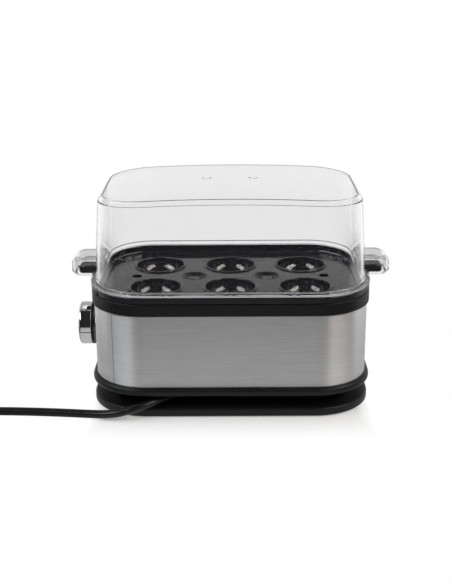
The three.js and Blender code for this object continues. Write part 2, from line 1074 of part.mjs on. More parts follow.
function controlUnit() {
  const section = roundedRectangle(control.width, control.height, control.corner);
  const box = prism(section, 0, control.length, 3);
  box.rotateX(Math.PI / 2);
  box.rotateZ(Math.PI / 2);
  box.translate(controlFace, 0, knobLevel);
  const bushEnd = wallFace - control.bushReach;
  let made = join(
    solid(box),
    axle(bushEnd, controlFace + overrun, 0, knobLevel, control.bushRadius),
  );
  made = cut(made, axle(
    bushEnd - overrun, controlFace + control.boreDepth, 0, knobLevel, shaft.radius + fit,
  ));
  for (const side of [-1, 1]) {
    made = join(made, block(
      [
        controlBack - overrun,
        side * controlTabY - control.tabThickness / 2,
        knobLevel - control.tabWidth / 2,
      ],
      [
        controlBack + control.tabLength,
        side * controlTabY + control.tabThickness / 2,
        knobLevel + control.tabWidth / 2,
      ],
    ));
  }
  return made;
}

add('control_unit', controlUnit(), looks.ceramic);

// The nut on the bush, clear of the steel wall's inside
function shaftNut() {
  const inner = bracketFace - fit;
  const outer = inner - nut.thickness;
  const made = solid(turnedAlongX(
    [[0, outer], [nut.radius, outer], [nut.radius, inner], [0, inner]], 0, knobLevel, 6,
  ));
  return cut(made, axle(outer - overrun, inner + overrun, 0, knobLevel, control.bushRadius + fit));
}

add('shaft_nut', shaftNut(), looks.zinc);

// Knob: black skirt with its hub, chromed cap and the shaft

const skirtInside = wallFace - knob.wallGap;
const skirtOutside = skirtInside - knob.skirt;
const capInside = skirtOutside - fit;
const capOutside = capInside - knob.length;
const hubEnd = capOutside + knob.face + fit;
const shaftOutside = hubEnd + fit;
const shaftInside = controlFace + control.boreDepth - fit;

function knobSkirt() {
  const made = join(
    axle(skirtOutside, skirtInside, 0, knobLevel, knob.radius, 28),
    axle(hubEnd, skirtInside - knob.skirt / 2, 0, knobLevel, knob.hubRadius),
  );
  return cut(made, axle(
    hubEnd - overrun, skirtInside + overrun, 0, knobLevel, shaft.radius + fit,
  ));
}

function knobCap() {
  const inner = knob.radius - knob.wall;
  const made = solid(turnedAlongX([
    [inner, capInside],
    [inner, capOutside + knob.face],
    [0, capOutside + knob.face],
    [0, capOutside],
    [knob.radius - knob.edge, capOutside],
    [knob.radius - knob.edge * (1 - Math.SQRT1_2), capOutside + knob.edge * (1 - Math.SQRT1_2)],
    [knob.radius, capOutside + knob.edge],
    [knob.radius, capInside],
    [inner, capInside],
  ], 0, knobLevel, 28));
  const grooveInner = knob.radius * (1 - knob.grooveLengthShare);
  const groove = new THREE.BoxGeometry(
    knob.grooveDepth + overrun, knob.radius + overrun - grooveInner, knob.grooveWidth,
  );
  groove.translate(
    capOutside + knob.grooveDepth - (knob.grooveDepth + overrun) / 2,
    -(knob.radius + overrun + grooveInner) / 2,
    0,
  );
  groove.rotateX(-THREE.MathUtils.degToRad(pointerDegrees));
  groove.translate(0, 0, knobLevel);
  return cut(made, solid(groove));
}

function controlShaft() {
  const made = axle(shaftOutside, shaftInside, 0, knobLevel, shaft.radius, 16);
  const flat = knobLevel + shaft.radius * shaft.flatShare;
  return cut(made, block(
    [shaftOutside - overrun, -overrun, flat],
    [shaftOutside + shaft.seatDepth, overrun, flat + overrun],
  ));
}

add('control_shaft', controlShaft(), looks.brass);
add('knob_skirt', knobSkirt(), looks.blackPlastic);
add('knob_cap', knobCap(), looks.chrome);

// Strain relief, the lead's tail inside the neck and its clamp

function cordGland() {
  const profile = [
    [0, reliefTip],
    [lead.reliefTipRadius, reliefTip],
  ];
  const slope = (lead.reliefRadius - lead.reliefTipRadius) / lead.reliefLength;
  const pitch = lead.reliefLength / (lead.reliefGrooves + 1);
  for (let i = 1; i <= lead.reliefGrooves; i++) {
    const x = reliefTip + i * pitch;
    const radius = lead.reliefTipRadius + slope * i * pitch;
    profile.push(
      [radius, x - lead.grooveWidth / 2],
      [radius - lead.grooveDepth, x - lead.grooveWidth / 2],
      [radius - lead.grooveDepth, x + lead.grooveWidth / 2],
      [radius, x + lead.grooveWidth / 2],
    );
  }
  profile.push(
    [lead.reliefRadius, lead.exitX - fit],
    [lead.neckRadius, lead.exitX - fit],
    [lead.neckRadius, wallInside + fit],
    [lead.flangeRadius, wallInside + fit],
    [lead.flangeRadius, wallInside + fit + lead.flangeThickness],
    [0, wallInside + fit + lead.flangeThickness],
  );
  return turnedAlongX(profile, exitY, leadLevel, 12);
}

add('cord_gland', cordGland(), looks.rubber);
add('cord_tail', axle(tailStart, tailEnd, exitY, leadLevel, lead.radius, 12), looks.rubber);

// A saddle over the tail: an arch with one long foot for its screw
const clampMiddle = (tailStart + tailEnd) / 2;
const clampLow = neckFloorTop + fit;
const clampScrewY = exitY + lead.radius + fit + lead.clampWall + lead.clampFoot / 2;

function cordClamp() {
  const inner = lead.radius + fit;
  const outer = inner + lead.clampWall;
  const shape = new THREE.Shape();
  shape.moveTo(exitY - outer, clampLow);
  shape.lineTo(exitY - inner, clampLow);
  shape.lineTo(exitY - inner, leadLevel);
  shape.absarc(exitY, leadLevel, inner, Math.PI, 0, true);
  shape.lineTo(exitY + inner, clampLow);
  shape.lineTo(exitY + outer + lead.clampFoot, clampLow);
  shape.lineTo(exitY + outer + lead.clampFoot, clampLow + lead.clampWall);
  shape.lineTo(exitY + outer, clampLow + lead.clampWall);
  shape.lineTo(exitY + outer, leadLevel);
  shape.absarc(exitY, leadLevel, outer, 0, Math.PI, false);
  const geometry = prism(shape, clampMiddle - lead.clampWidth / 2, clampMiddle + lead.clampWidth / 2);
  geometry.rotateX(Math.PI / 2);
  geometry.rotateZ(Math.PI / 2);
  return geometry;
}

add('cord_clamp', cordClamp(), looks.blackPlastic);

add('clamp_screw', turned([
  [0, clampLow + lead.clampWall + fit],
  [bracketScrew.headRadius, clampLow + lead.clampWall + fit],
  [bracketScrew.headRadius, clampLow + lead.clampWall + fit + bracketScrew.headHeight],
  [0, clampLow + lead.clampWall + fit + bracketScrew.headHeight],
], clampMiddle, clampScrewY, 10), looks.zinc);

// Terminal block on the neck's floor, and the wires

const terminalLow = neckFloorTop + fit;
const terminalTop = terminalLow + terminal.height + terminal.towerHeight;
const terminalY = exitY + terminal.width;
const corePitch = terminal.length / 3;

function terminalBlock() {
  const base = prism(
    roundedRectangle(terminal.length, terminal.width, terminal.corner),
    terminalLow, terminalLow + terminal.height, 2,
  );
  base.translate(terminalX, terminalY, 0);
  let made = solid(base);
  for (const place of [-1, 0, 1]) {
    const x = terminalX + place * corePitch;
    made = join(made, post(x, terminalY, terminalLow + terminal.height / 2, terminalTop,
      terminal.towerRadius, 12));
    made = cut(made, post(x, terminalY, terminalTop - terminal.screwDepth, terminalTop + overrun,
      terminal.screwRadius, 10));
  }
  return made;
}

add('terminal_block', terminalBlock(), looks.ceramic);

const terminalFront = terminalY - terminal.width / 2 - fit;
const terminalBack = terminalY + terminal.width / 2 + fit;
const terminalLevel = terminalLow + terminal.height / 2;
const coreReach = lead.radius - wire.radius;

// The three cores between the lead's tail and the block
const cores = [
  ['live', -1, looks.redWire],
  ['neutral', 0, looks.blueWire],
  ['earth', 1, looks.earthWire],
];
for (const [name, place, look] of cores) {
  const y = exitY - place * coreReach;
  const z = leadLevel + (place === 0 ? coreReach : -coreReach / 2);
  const spreadY = exitY - place * wire.radius * 2.4;
  const targetX = terminalX + place * corePitch;
  const start = tailEnd + fit;
  add(`supply_core_${name}`, tube([
    spot(start, y, z),
    spot(start + wire.radius * 2, y, z),
    spot(start + wire.radius * 7, spreadY, terminalLevel),
    spot(targetX - wire.radius * 4, spreadY, terminalLevel),
    spot(targetX, terminalFront - wire.radius * 2, terminalLevel),
    spot(targetX, terminalFront, terminalLevel),
  ], wire.radius, 6, 10), look);
}

const tabEndX = controlBack + control.tabLength + fit;
const bundleZ = flangeTop + housing.bossHeight;
const liveX = terminalX - corePitch;
const earthX = terminalX + corePitch;
const endX = element.endSpacing / 2;
const elementTabLow = elementEnd - fit - element.tabLength - fit;

add('wire_live_supply', tube([
  spot(liveX, terminalBack, terminalLevel),
  spot(liveX, terminalBack + wire.radius * 4, terminalLevel),
  spot(0, 0, terminalLevel + wire.radius),
  spot(-halfWidth / 2, -controlTabY, bundleZ),
  spot(tabEndX + wire.radius * 8, -controlTabY, knobLevel),
  spot(tabEndX, -controlTabY, knobLevel),
], wire.radius, 6, 16), looks.redWire);

add('wire_live_switched', tube([
  spot(tabEndX, controlTabY, knobLevel),
  spot(tabEndX + wire.radius * 8, controlTabY, knobLevel),
  spot(-halfWidth / 3, 0, elementTabLow - wire.radius * 5),
  spot(-endX, -elementY, elementTabLow - wire.radius * 4),
  spot(-endX, -elementY, elementTabLow),
], wire.radius, 6, 14), looks.redWire);

add('wire_neutral', tube([
  spot(terminalX, terminalBack, terminalLevel),
  spot(terminalX, terminalBack + wire.radius * 4, terminalLevel),
  spot(terminalX - wire.radius * 8, -halfDepth / 8, bundleZ),
  spot(endX, -elementY, elementTabLow - wire.radius * 4),
  spot(endX, -elementY, elementTabLow),
], wire.radius, 6, 13), looks.blueWire);

const earthScrewX = elementX - earthScrew.inset;
const earthScrewY = elementY / 2;
const earthHeadLow = discTop - earthScrew.headHeight;

add('earth_screw', turned([
  [0, earthHeadLow],
  [earthScrew.headRadius, earthHeadLow],
  [earthScrew.headRadius, discTop],
  [0, discTop],
], earthScrewX, earthScrewY, 10), looks.brass);

add('wire_earth', tube([
  spot(earthX, terminalBack, terminalLevel),
  spot(earthX, terminalBack + wire.radius * 4, terminalLevel),
  spot(earthX, 0, bundleZ),
  spot(earthScrewX, earthScrewY, earthHeadLow - wire.radius * 8),
  spot(earthScrewX, earthScrewY, earthHeadLow - fit),
], wire.radius, 6, 12), looks.earthWire);

// Egg tray: rim band, recessed plate, six open cups, dimples, steam holes and two lugs

// The two grip shapes, in front view and in plan, cross to give a block with rounded corners.
// It starts inside the wall at fromX and reaches toX on the right-hand side.
function gripBlock(fromX, toX, width, low, high, planRadius, topRadius, chamfer) {
  const front = new THREE.Shape();
  front.moveTo(fromX, low);
  front.lineTo(toX - chamfer, low);
  front.lineTo(toX, low + chamfer);
  front.lineTo(toX, high - topRadius);
  front.absarc(toX - topRadius, high - topRadius, topRadius, 0, Math.PI / 2, false);
  front.lineTo(fromX, high);
  const seenFromFront = prism(front, -width / 2, width / 2, 6);
  seenFromFront.rotateX(Math.PI / 2);
  const plan = new THREE.Shape();
  plan.moveTo(fromX, -width / 2);
  plan.lineTo(toX - planRadius, -width / 2);
  plan.absarc(toX - planRadius, -width / 2 + planRadius, planRadius, -Math.PI / 2, 0, false);
  plan.absarc(toX - planRadius, width / 2 - planRadius, planRadius, 0, Math.PI / 2, false);
  plan.lineTo(fromX, width / 2);
  const seenFromAbove = prism(plan, low, high, 6);
  return solid(seenFromFront).intersect(solid(seenFromAbove));
}

function bothEnds(made, combine, geometryOf) {
  const right = geometryOf();
  return combine(made, right, mirrored(right));
}

// A solid turned half round the body's middle axis, to stand at the other end
function mirrored(made) {
  const source = made.getMesh();
  const geometry = new THREE.BufferGeometry();
  geometry.setAttribute('position', new THREE.BufferAttribute(
    new Float32Array(source.vertProperties), source.numProp,
  ));
  geometry.setIndex(new THREE.BufferAttribute(new Uint32Array(source.triVerts), 1));
  geometry.rotateZ(Math.PI);
  return solid(geometry);
}

const lugLow = trayRimTop + lug.rise;
const lugHigh = lugLow + lug.height;
const lidWallX = halfWidth - lid.baseInset;
const lugInside = lidWallX + lug.wallGap;
const lugOutside = halfWidth + lug.reach;

function eggPlaces() {
  const places = [];
  for (let row = 0; row < eggs.rows; row++) {
    for (let column = 0; column < eggs.perRow; column++) {
      places.push([
        (column - (eggs.perRow - 1) / 2) * columnPitch,
        (row - (eggs.rows - 1) / 2) * rowPitch,
      ]);
    }
  }
  return places;
}

const cupBottom = trayTop - cup.depth;

// The cup's wall: a rounded lip above the plate, a bowl with a step, open at the bottom
function cupWall(x, y) {
  const lipTop = trayTop + cup.lipHeight;
  const mouth = cup.lipRadius - cup.lipWidth;
  const stepTop = trayTop - cup.stepDepth;
  const stepInner = cup.stepRadius - cup.stepWidth;
  return solid(turned([
    [cup.bottomRadius, cupBottom],
    [cup.bottomRadius + cup.wall, cupBottom],
    [cup.stepRadius + cup.wall, stepTop - cup.wall],
    [mouth + cup.wall, trayUnderside],
    [cup.lipRadius, trayTop],
    [cup.lipRadius - cup.lipHeight / 2, lipTop],
    [mouth + cup.lipHeight / 2, lipTop],
    [mouth, trayTop],
    [cup.stepRadius, stepTop],
    [stepInner, stepTop],
    [cup.bottomRadius, cupBottom],
  ], x, y, 20));
}

function cupRoom(x, y) {
  const mouth = cup.lipRadius - cup.lipWidth;
  return solid(turned([
    [0, cupBottom],
    [mouth, cupBottom],
    [mouth, trayTop + overrun],
    [0, trayTop + overrun],
  ], x, y, 20));
}

function dimpleCut(x) {
  return solid(turned([
    [0, trayTop - dimple.depth],
    [dimple.radius * Math.SQRT1_2, trayTop - dimple.depth * Math.SQRT1_2],
    [dimple.radius, trayTop],
    [dimple.radius, trayTop + overrun],
    [0, trayTop + overrun],
  ], x, 0, 16));
}

function dimpleShell(x) {
  const low = trayTop - dimple.depth - tray.plateThickness;
  return solid(turned([
    [0, low],
    [dimple.radius * Math.SQRT1_2, low + dimple.depth * (1 - Math.SQRT1_2)],
    [dimple.radius, trayUnderside],
    [dimple.radius, trayTop],
    [0, trayTop],
  ], x, 0, 16));
}

function eggTray() {
  const spigotOuter = -collar.mouthInset - slideFit;
  const spigotInner = spigotOuter - tray.spigotWall;
  const spigotLow = trayRimBottom - tray.spigotDepth;
  const inner = collar.offset - tray.rimEdge;
  let made = solid(skin(rings([
    [spigotInner, trayUnderside],
    [spigotInner, spigotLow],
    [spigotOuter, spigotLow],
    [spigotOuter, trayRimBottom],
    [inner, trayRimBottom],
    [collar.offset, trayRimBottom + tray.rimEdge],
    ...round(inner, trayRimTop - tray.rimEdge, tray.rimEdge, 0, 1),
    ...round(-tray.rimInnerInset + tray.rimEdge, trayRimTop - tray.rimEdge, tray.rimEdge, 1, 2),
    [-tray.rimInnerInset - tray.rimEdge, trayTop + tray.rimEdge * 2],
    [-tray.plateInset, trayTop],
  ])));
  for (const side of [-1, 1]) {
    const x = side * columnPitch / 2;
    made = join(made, dimpleShell(x));
  }
  for (const [x, y] of eggPlaces()) made = cut(made, cupRoom(x, y));
  for (const [x, y] of eggPlaces()) made = join(made, cupWall(x, y));
  const holeX = halfWidth - tray.plateInset - steamHole.inset;
  for (const side of [-1, 1]) {
    made = cut(
      made,
      dimpleCut(side * columnPitch / 2),
      post(side * holeX, 0, cupBottom, trayTop + overrun, steamHole.radius, 14),
    );
  }
  const half = lug.width / 2;
  const riser = block(
    [lugInside, -half, trayRimBottom + tray.rimEdge],
    [lugInside + lug.neck, half, lugLow + lug.height / 2],
  );
  const grip = gripBlock(
    lugInside, lugOutside, lug.width, lugLow, lugHigh, lug.cornerRadius, lug.cornerRadius, lug.rise,
  );
  return bothEnds(made, join, () => join(riser, grip));
}

add('egg_tray', eggTray(), looks.glossBlack);

// Clear lid: drafted wall, crowned top, flange, two hollow hoods over the lugs, vents and nubs

function crownAt(x) {
  const share = x / halfWidth;
  return lid.crown * (1 - share * share);
}

function crowned(points) {
  return points.map(point => spot(point.x, point.y, point.z + crownAt(point.x)));
}

// The roof's inner rings shrink towards the middle and stay on the crown
function roofRings(offset, z, shares) {
  return shares.map(share => crowned(
    outline(offset, z).map(point => spot(point.x * share, point.y * share, z)),
  ));
}

const roofShares = [0.4, 0.8];

function lidSkin() {
  const outerTop = -lid.topInset;
  const innerTop = outerTop - lid.wall;
  const innerBase = -lid.baseInset - lid.wall;
  const edgeSteps = 3;
  const outerEdge = [];
  const innerEdge = [];
  for (let i = 0; i <= edgeSteps; i++) {
    const angle = i / edgeSteps * Math.PI / 2;
    const inset = lid.edgeInset * (1 - Math.cos(angle));
    const rise = lid.edgeRise * Math.sin(angle);
    outerEdge.push([outerTop - inset, lidEdge + rise]);
    innerEdge.unshift([innerTop - inset / 2, lidEdge - lid.wall / 2 + rise / 2]);
  }
  const ceiling = lidEdge - lid.wall / 2 + lid.edgeRise / 2;
  const roofInner = innerTop - lid.edgeInset / 2;
  const roofOuter = outerTop - lid.edgeInset;
  return skin([
    ...roofRings(roofInner, ceiling, roofShares),
    ...innerEdge.map(([offset, z]) => crowned(outline(offset, z))),
    ...rings([
      [innerBase, lidBottom],
      [lid.flangeOffset - lid.flangeEdge, lidBottom],
      [lid.flangeOffset, lidBottom + lid.flangeEdge],
      [lid.flangeOffset, lidBottom + lid.flangeThickness - lid.flangeEdge],
      [lid.flangeOffset - lid.flangeEdge, lidBottom + lid.flangeThickness],
      [-lid.baseInset, lidBottom + lid.flangeThickness],
    ]),
    ...outerEdge.map(([offset, z]) => crowned(outline(offset, z))),
    ...roofRings(roofOuter, lidTop, [...roofShares].reverse()),
  ]);
}

const hoodLow = lidBottom - hood.drop;
const hoodHigh = hoodLow + hood.height;
const hoodOutside = halfWidth + hood.reach;

// The lid's drafted outer wall as a plain solid, to keep the hoods out of the chamber
function insideOfLid() {
  return solid(skin([
    outline(-lid.baseInset - lid.wall / 2, hoodLow - overrun),
    outline(-lid.baseInset - lid.wall / 2, lidBottom),
    crowned(outline(-lid.topInset - lid.wall / 2, lidEdge)),
  ]));
}

function hoodOutsideBlock() {
  return gripBlock(
    lidWallX - lid.wall, hoodOutside, hood.width, hoodLow, hoodHigh,
    hood.planRadius, hood.topRadius, hood.bottomChamfer,
  );
}

// The room in the hood runs out at the bottom and stops at the lid's wall
function hoodRoom() {
  return gripBlock(
    lidWallX + fit, hoodOutside - hood.wall, hood.width - hood.wall * 2,
    hoodLow - overrun, hoodHigh - hood.wall,
    hood.planRadius - hood.wall, hood.topRadius - hood.wall, 0,
  );
}

function lidNubs() {
  const top = lidBottom + nub.height;
  const low = lidBottom - nub.drop;
  const outer = -tray.rimInnerInset - slideFit;
  const made = [];
  for (const side of [-1, 1]) {
    for (const place of [-1, 0, 1]) {
      for (const half of [-1, 1]) {
        const x = place * nub.spacing + half * (nub.width + nub.gap) / 2;
        const face = side * (halfDepth + outer);
        const back = side * (halfDepth + outer - nub.thickness);
        made.push(block(
          [x - nub.width / 2, Math.min(face, back), low],
          [x + nub.width / 2, Math.max(face, back), top],
        ));
      }
    }
  }
  return made;
}

function lidShell() {
  let made = solid(lidSkin());
  const keepOut = insideOfLid();
  const rimRoom = solid(skin([
    outline(collar.offset + fit, hoodLow - overrun),
    outline(collar.offset + fit, lidBottom),
  ]));
  made = bothEnds(made, join, () => hoodOutsideBlock().subtract(keepOut).subtract(rimRoom));
  made = bothEnds(made, cut, hoodRoom);
  made = join(made, ...lidNubs());
  for (const side of [-1, 1]) {
    made = cut(made, post(
      side * vent.spacing / 2, vent.behindMiddle, lidEdge, lidTop + lid.crown + overrun,
      vent.radius, 14,
    ));
  }
  return made;
}

add('lid_shell', lidShell(), looks.clear);

// The lead outside: over the front left corner of the foot plate and along the table to the coil

const coilLow = coil.liftForTie + lead.radius;
const coilStart = spot(coil.centreX, coil.centreY - coil.outerRadius, coilLow);

const leadRoute = [
  spot(reliefTip - fit, exitY, leadLevel),
  spot(reliefTip - lead.radius, exitY, leadLevel),
  spot(-33.5, -50.6, 12.1),
  spot(-40, -54.5, 12),
  spot(-48, -60.8, 11.7),
  spot(-56.5, -68.2, 11.5),
  spot(-65, -74.4, 11),
  spot(-74, -77.9, 9.2),
  spot(-84, -78.3, 6.5),
  spot(-95, -76.4, 4.4),
  spot(-107, -74.1, 3.6),
  spot(-122, -72.2, 3.5),
  spot(-142, -70.2, 3.5),
  spot(-165, -68.6, 3.5),
  spot(-188, -67.9, 3.5),
  spot(-210, -67.7, 3.7),
  spot(-224, coilStart.y, coilLow),
  spot(coilStart.x + fit, coilStart.y, coilLow),
];

add('cord', tube(leadRoute, lead.radius, 10, 22), looks.rubber);

// Where the coil's centre line is after so many turns
function coilPoint(turns) {
  const total = coilTurnsPerLayer * 2 + coilClimbTurns;
  const windingIn = Math.min(turns / coilTurnsPerLayer, 1);
  const windingOut = Math.max((turns - total + coilTurnsPerLayer) / coilTurnsPerLayer, 0);
  const radius = coil.outerRadius - (coil.outerRadius - coil.innerRadius) * (windingIn - windingOut);
  const climbed = THREE.MathUtils.smoothstep(
    turns, coilTurnsPerLayer, coilTurnsPerLayer + coilClimbTurns,
  );
  const angle = -Math.PI / 2 - turns * Math.PI * 2;
  return spot(
    coil.centreX + radius * Math.cos(angle),
    coil.centreY + radius * Math.sin(angle),
    coilLow + climbed * coil.layerRise,
  );
}

const plugAxis = plug.faceRadius * plug.flankShare;

function coilLine() {
  const total = coilTurnsPerLayer * 2 + coilClimbTurns;
  const steps = Math.round(total * coilStepsPerTurn);
  const line = [];
  for (let i = 0; i <= steps; i++) line.push(coilPoint(i / steps * total));
  const last = line[line.length - 1];
  const runSteps = 4;
  for (let i = 1; i <= runSteps; i++) {
    const share = i / runSteps;
    const climb = THREE.MathUtils.smoothstep(share, 0, 1) * (plugAxis - last.z);
    line.push(spot(last.x, last.y + coil.plugRun * share, last.z + climb));
  }
  const end = line[line.length - 1];
  line.push(spot(end.x, end.y + lead.radius * 2, end.z));
  return line;
}

// A tube of plain rings, each square to the line there
function coilTube(line, radius, sides) {
  const ringsOfPoints = line.map((point, i) => {
    const before = line[Math.max(i - 1, 0)];
    const after = line[Math.min(i + 1, line.length - 1)];
    const ahead = i === 0 ? spot(-1, 0, 0) : after.clone().sub(before).normalize();
    if (i === line.length - 1) ahead.set(0, 1, 0);
    const outward = new THREE.Vector3().crossVectors(spot(0, 0, 1), ahead).normalize();
    const up = new THREE.Vector3().crossVectors(ahead, outward);
    const ringPoints = [];
    for (let side = 0; side < sides; side++) {
      const angle = side / sides * Math.PI * 2;
      ringPoints.push(point.clone()
        .addScaledVector(outward, radius * Math.cos(angle))
        .addScaledVector(up, radius * Math.sin(angle)));
    }
    return ringPoints;
  });
  return skin(ringsOfPoints);
}

const wound = coilLine();
add('cord_coil', coilTube(wound, lead.radius, 6), looks.rubber);

// The tie round the coil's turns
function cordTie() {
  const inner = coil.innerRadius - lead.radius - tie.clearance;
  const outer = coil.outerRadius + lead.radius + tie.clearance;
  const low = tie.thickness;
  const high = coilLow + coil.layerRise + lead.radius + tie.clearance;
  const middle = (inner + outer) / 2;
  const loop = roundedRectangle(
    outer - inner + tie.thickness * 2, high - low + tie.thickness * 2, lead.radius,
  );
  loop.holes.push(roundedRectangle(outer - inner, high - low, lead.radius - tie.thickness));
  const geometry = prism(loop, -tie.width / 2, tie.width / 2, 4);
  geometry.rotateX(Math.PI / 2);
  geometry.translate(middle, 0, (low + high) / 2);
  geometry.rotateZ(THREE.MathUtils.degToRad(tieDegrees));
  geometry.translate(coil.centreX, coil.centreY, 0);
  return geometry;
}

add('cord_tie', cordTie(), looks.rubber);

// Plug: ribbed sleeve, grip and round face with two pins, lying along Y

const plugTail = wound[wound.length - 1];
const plugStart = plugTail.y + fit;
const gripStart = plugStart + plug.sleeveLength;
const faceStart = gripStart + plug.gripLength;
const faceEnd = faceStart + plug.faceLength;

function alongY(profile, x, z, sides) {
  const geometry = new THREE.LatheGeometry(
    profile.map(([radius, y]) => new THREE.Vector2(radius, y)),
    sides,
  );
  geometry.translate(x, 0, z);
  return geometry;
}

function plugBody() {
  let made = solid(alongY([
    [0, plugStart],
    [plug.sleeveRadius, plugStart],
    [plug.sleeveEndRadius, gripStart],
    [plug.gripRadius, gripStart + plug.sleeveEndRadius / 2],
    [plug.gripRadius, faceStart - plug.recessDepth * 2],
    [plug.faceRadius, faceStart + plug.recessDepth],
    [plug.faceRadius, faceEnd],
    [plug.recessRadius, faceEnd],
    [plug.recessRadius, faceEnd - plug.recessDepth],
    [0, faceEnd - plug.recessDepth],
  ], plugTail.x, plugAxis, 20));
  const flank = plug.faceRadius * plug.flankShare;
  made = made.intersect(block(
    [plugTail.x - plug.faceRadius, plugStart - overrun, plugAxis - flank],
    [plugTail.x + plug.faceRadius, faceEnd + overrun, plugAxis + flank],
  ));
  for (const side of [-1, 1]) {
    const x = plugTail.x + side * plug.pinSpacing / 2;
    made = cut(made, solid(alongY([
      [0, faceEnd - plug.recessDepth - plug.pinHoleDepth],
      [plug.pinRadius + fit, faceEnd - plug.recessDepth - plug.pinHoleDepth],
      [plug.pinRadius + fit, faceEnd + overrun],
      [0, faceEnd + overrun],
    ], x, plugAxis, 12)));
  }
  return made;
}

add('plug_body', plugBody(), looks.rubber);

for (const [name, side] of [['outer', -1], ['inner', 1]]) {
  const root = faceEnd - plug.recessDepth - plug.pinHoleDepth + fit;
  const tip = faceEnd - plug.recessDepth + plug.pinLength;
  add(`plug_pin_${name}`, alongY([
    [0, root],
    [plug.pinRadius, root],
    [plug.pinRadius, tip - plug.pinRadius],
    [plug.pinRadius * Math.SQRT1_2, tip - plug.pinRadius * (1 - Math.SQRT1_2)],
    [0, tip],
  ], plugTail.x + side * plug.pinSpacing / 2, plugAxis, 12), looks.zinc);
}

// The lead's length and the coil's least gap to itself, measured on points of its centre line
function measureLead() {
  const route = new THREE.CatmullRomCurve3(leadRoute, false, 'centripetal').getLength();
  let woundLength = 0;
  for (let i = 1; i < wound.length; i++) woundLength += wound[i].distanceTo(wound[i - 1]);
  let least = Infinity;
  for (let i = 0; i < wound.length; i++) {
    for (let j = i + coilStepsPerTurn / 2; j < wound.length; j++) {
      least = Math.min(least, wound[i].distanceTo(wound[j]));
    }
  }
  return [route + woundLength, least - lead.radius * 2];
}

const [leadLength, leastGap] = measureLead();
console.log(`lead ${leadLength.toFixed(1)} mm, least gap in the coil ${leastGap.toFixed(2)} mm`);

export default assembly;
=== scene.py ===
# Egg cooker with a clear lid: the looks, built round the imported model.
# Lengths are in millimetres here and turn into metres where a mesh is made.

import json
import math

import bmesh
import bpy
from mathutils import Matrix, Vector


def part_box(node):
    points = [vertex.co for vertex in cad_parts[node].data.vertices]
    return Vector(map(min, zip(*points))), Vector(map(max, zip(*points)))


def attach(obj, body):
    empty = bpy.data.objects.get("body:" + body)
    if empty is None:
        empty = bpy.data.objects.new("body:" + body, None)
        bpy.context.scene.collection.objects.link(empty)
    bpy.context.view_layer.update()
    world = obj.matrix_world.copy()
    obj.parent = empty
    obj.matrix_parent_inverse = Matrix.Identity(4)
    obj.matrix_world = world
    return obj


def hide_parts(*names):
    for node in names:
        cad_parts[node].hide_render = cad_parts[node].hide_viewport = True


MM = 0.001

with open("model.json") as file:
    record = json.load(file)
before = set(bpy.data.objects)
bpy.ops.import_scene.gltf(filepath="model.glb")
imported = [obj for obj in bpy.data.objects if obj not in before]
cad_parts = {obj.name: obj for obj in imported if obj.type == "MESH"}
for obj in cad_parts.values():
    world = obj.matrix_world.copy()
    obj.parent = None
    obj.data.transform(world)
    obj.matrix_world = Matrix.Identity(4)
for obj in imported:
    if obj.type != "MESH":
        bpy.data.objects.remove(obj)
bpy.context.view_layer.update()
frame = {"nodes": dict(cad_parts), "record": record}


# Camera, as the photograph was taken

IMAGE_SIZE = (452, 584)
FOCAL_PIXELS = 1057.2
CAMERA_PLACE = (1.58, -809.563, 344.307)
CAMERA_PITCH = math.radians(18.306)
CAMERA_YAW = math.radians(-0.372)
CAMERA_ROLL = math.radians(-0.395)
SENSOR = 36.0


def make_camera():
    data = bpy.data.cameras.new("camera")
    data.sensor_width = SENSOR
    data.lens = FOCAL_PIXELS / max(IMAGE_SIZE) * SENSOR
    data.clip_start = 0.02
    data.clip_end = 60
    camera = bpy.data.objects.new("camera", data)
    camera.matrix_world = (
        Matrix.Translation(Vector(CAMERA_PLACE) * MM)
        @ Matrix.Rotation(-CAMERA_YAW, 4, "Z")
        @ Matrix.Rotation(math.pi / 2 - CAMERA_PITCH, 4, "X")
        @ Matrix.Rotation(CAMERA_ROLL, 4, "Z")
    )
    bpy.context.scene.collection.objects.link(camera)
    bpy.context.scene.camera = camera


make_camera()


# Sizes read from the frame

def box_mm(node):
    low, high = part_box(node)
    return low / MM, high / MM


sleeve_low, sleeve_high = box_mm("steel_sleeve")
plate_low, plate_high = box_mm("foot_plate")
housing_low, housing_high = box_mm("base_housing")
collar_low, collar_high = box_mm("rim_collar")
tray_high = box_mm("egg_tray")[1]
lid_low, lid_high = box_mm("lid_shell")
pan_low, pan_high = box_mm("heating_pan")
cap_low, cap_high = box_mm("knob_cap")
skirt_low, skirt_high = box_mm("knob_skirt")
gland_low, gland_high = box_mm("cord_gland")
plug_low, plug_high = box_mm("plug_body")

knob_height = (cap_low.z + cap_high.z) / 2
knob_radius = (cap_high.z - cap_low.z) / 2
plug_middle = (plug_low.x + plug_high.x) / 2
plug_axis = (plug_low.z + plug_high.z) / 2

# The outline of the steel wall, which every level of the object follows
HALF_WIDTH = sleeve_high.x
HALF_DEPTH = sleeve_high.y
CORNER_RADIUS = 42.0

# The gap between neighbours, how far a cutting body reaches past what it cuts, and the steps of a corner
FIT = 0.3
PAST = 5.0
FINE = 22


# Profiles and skins

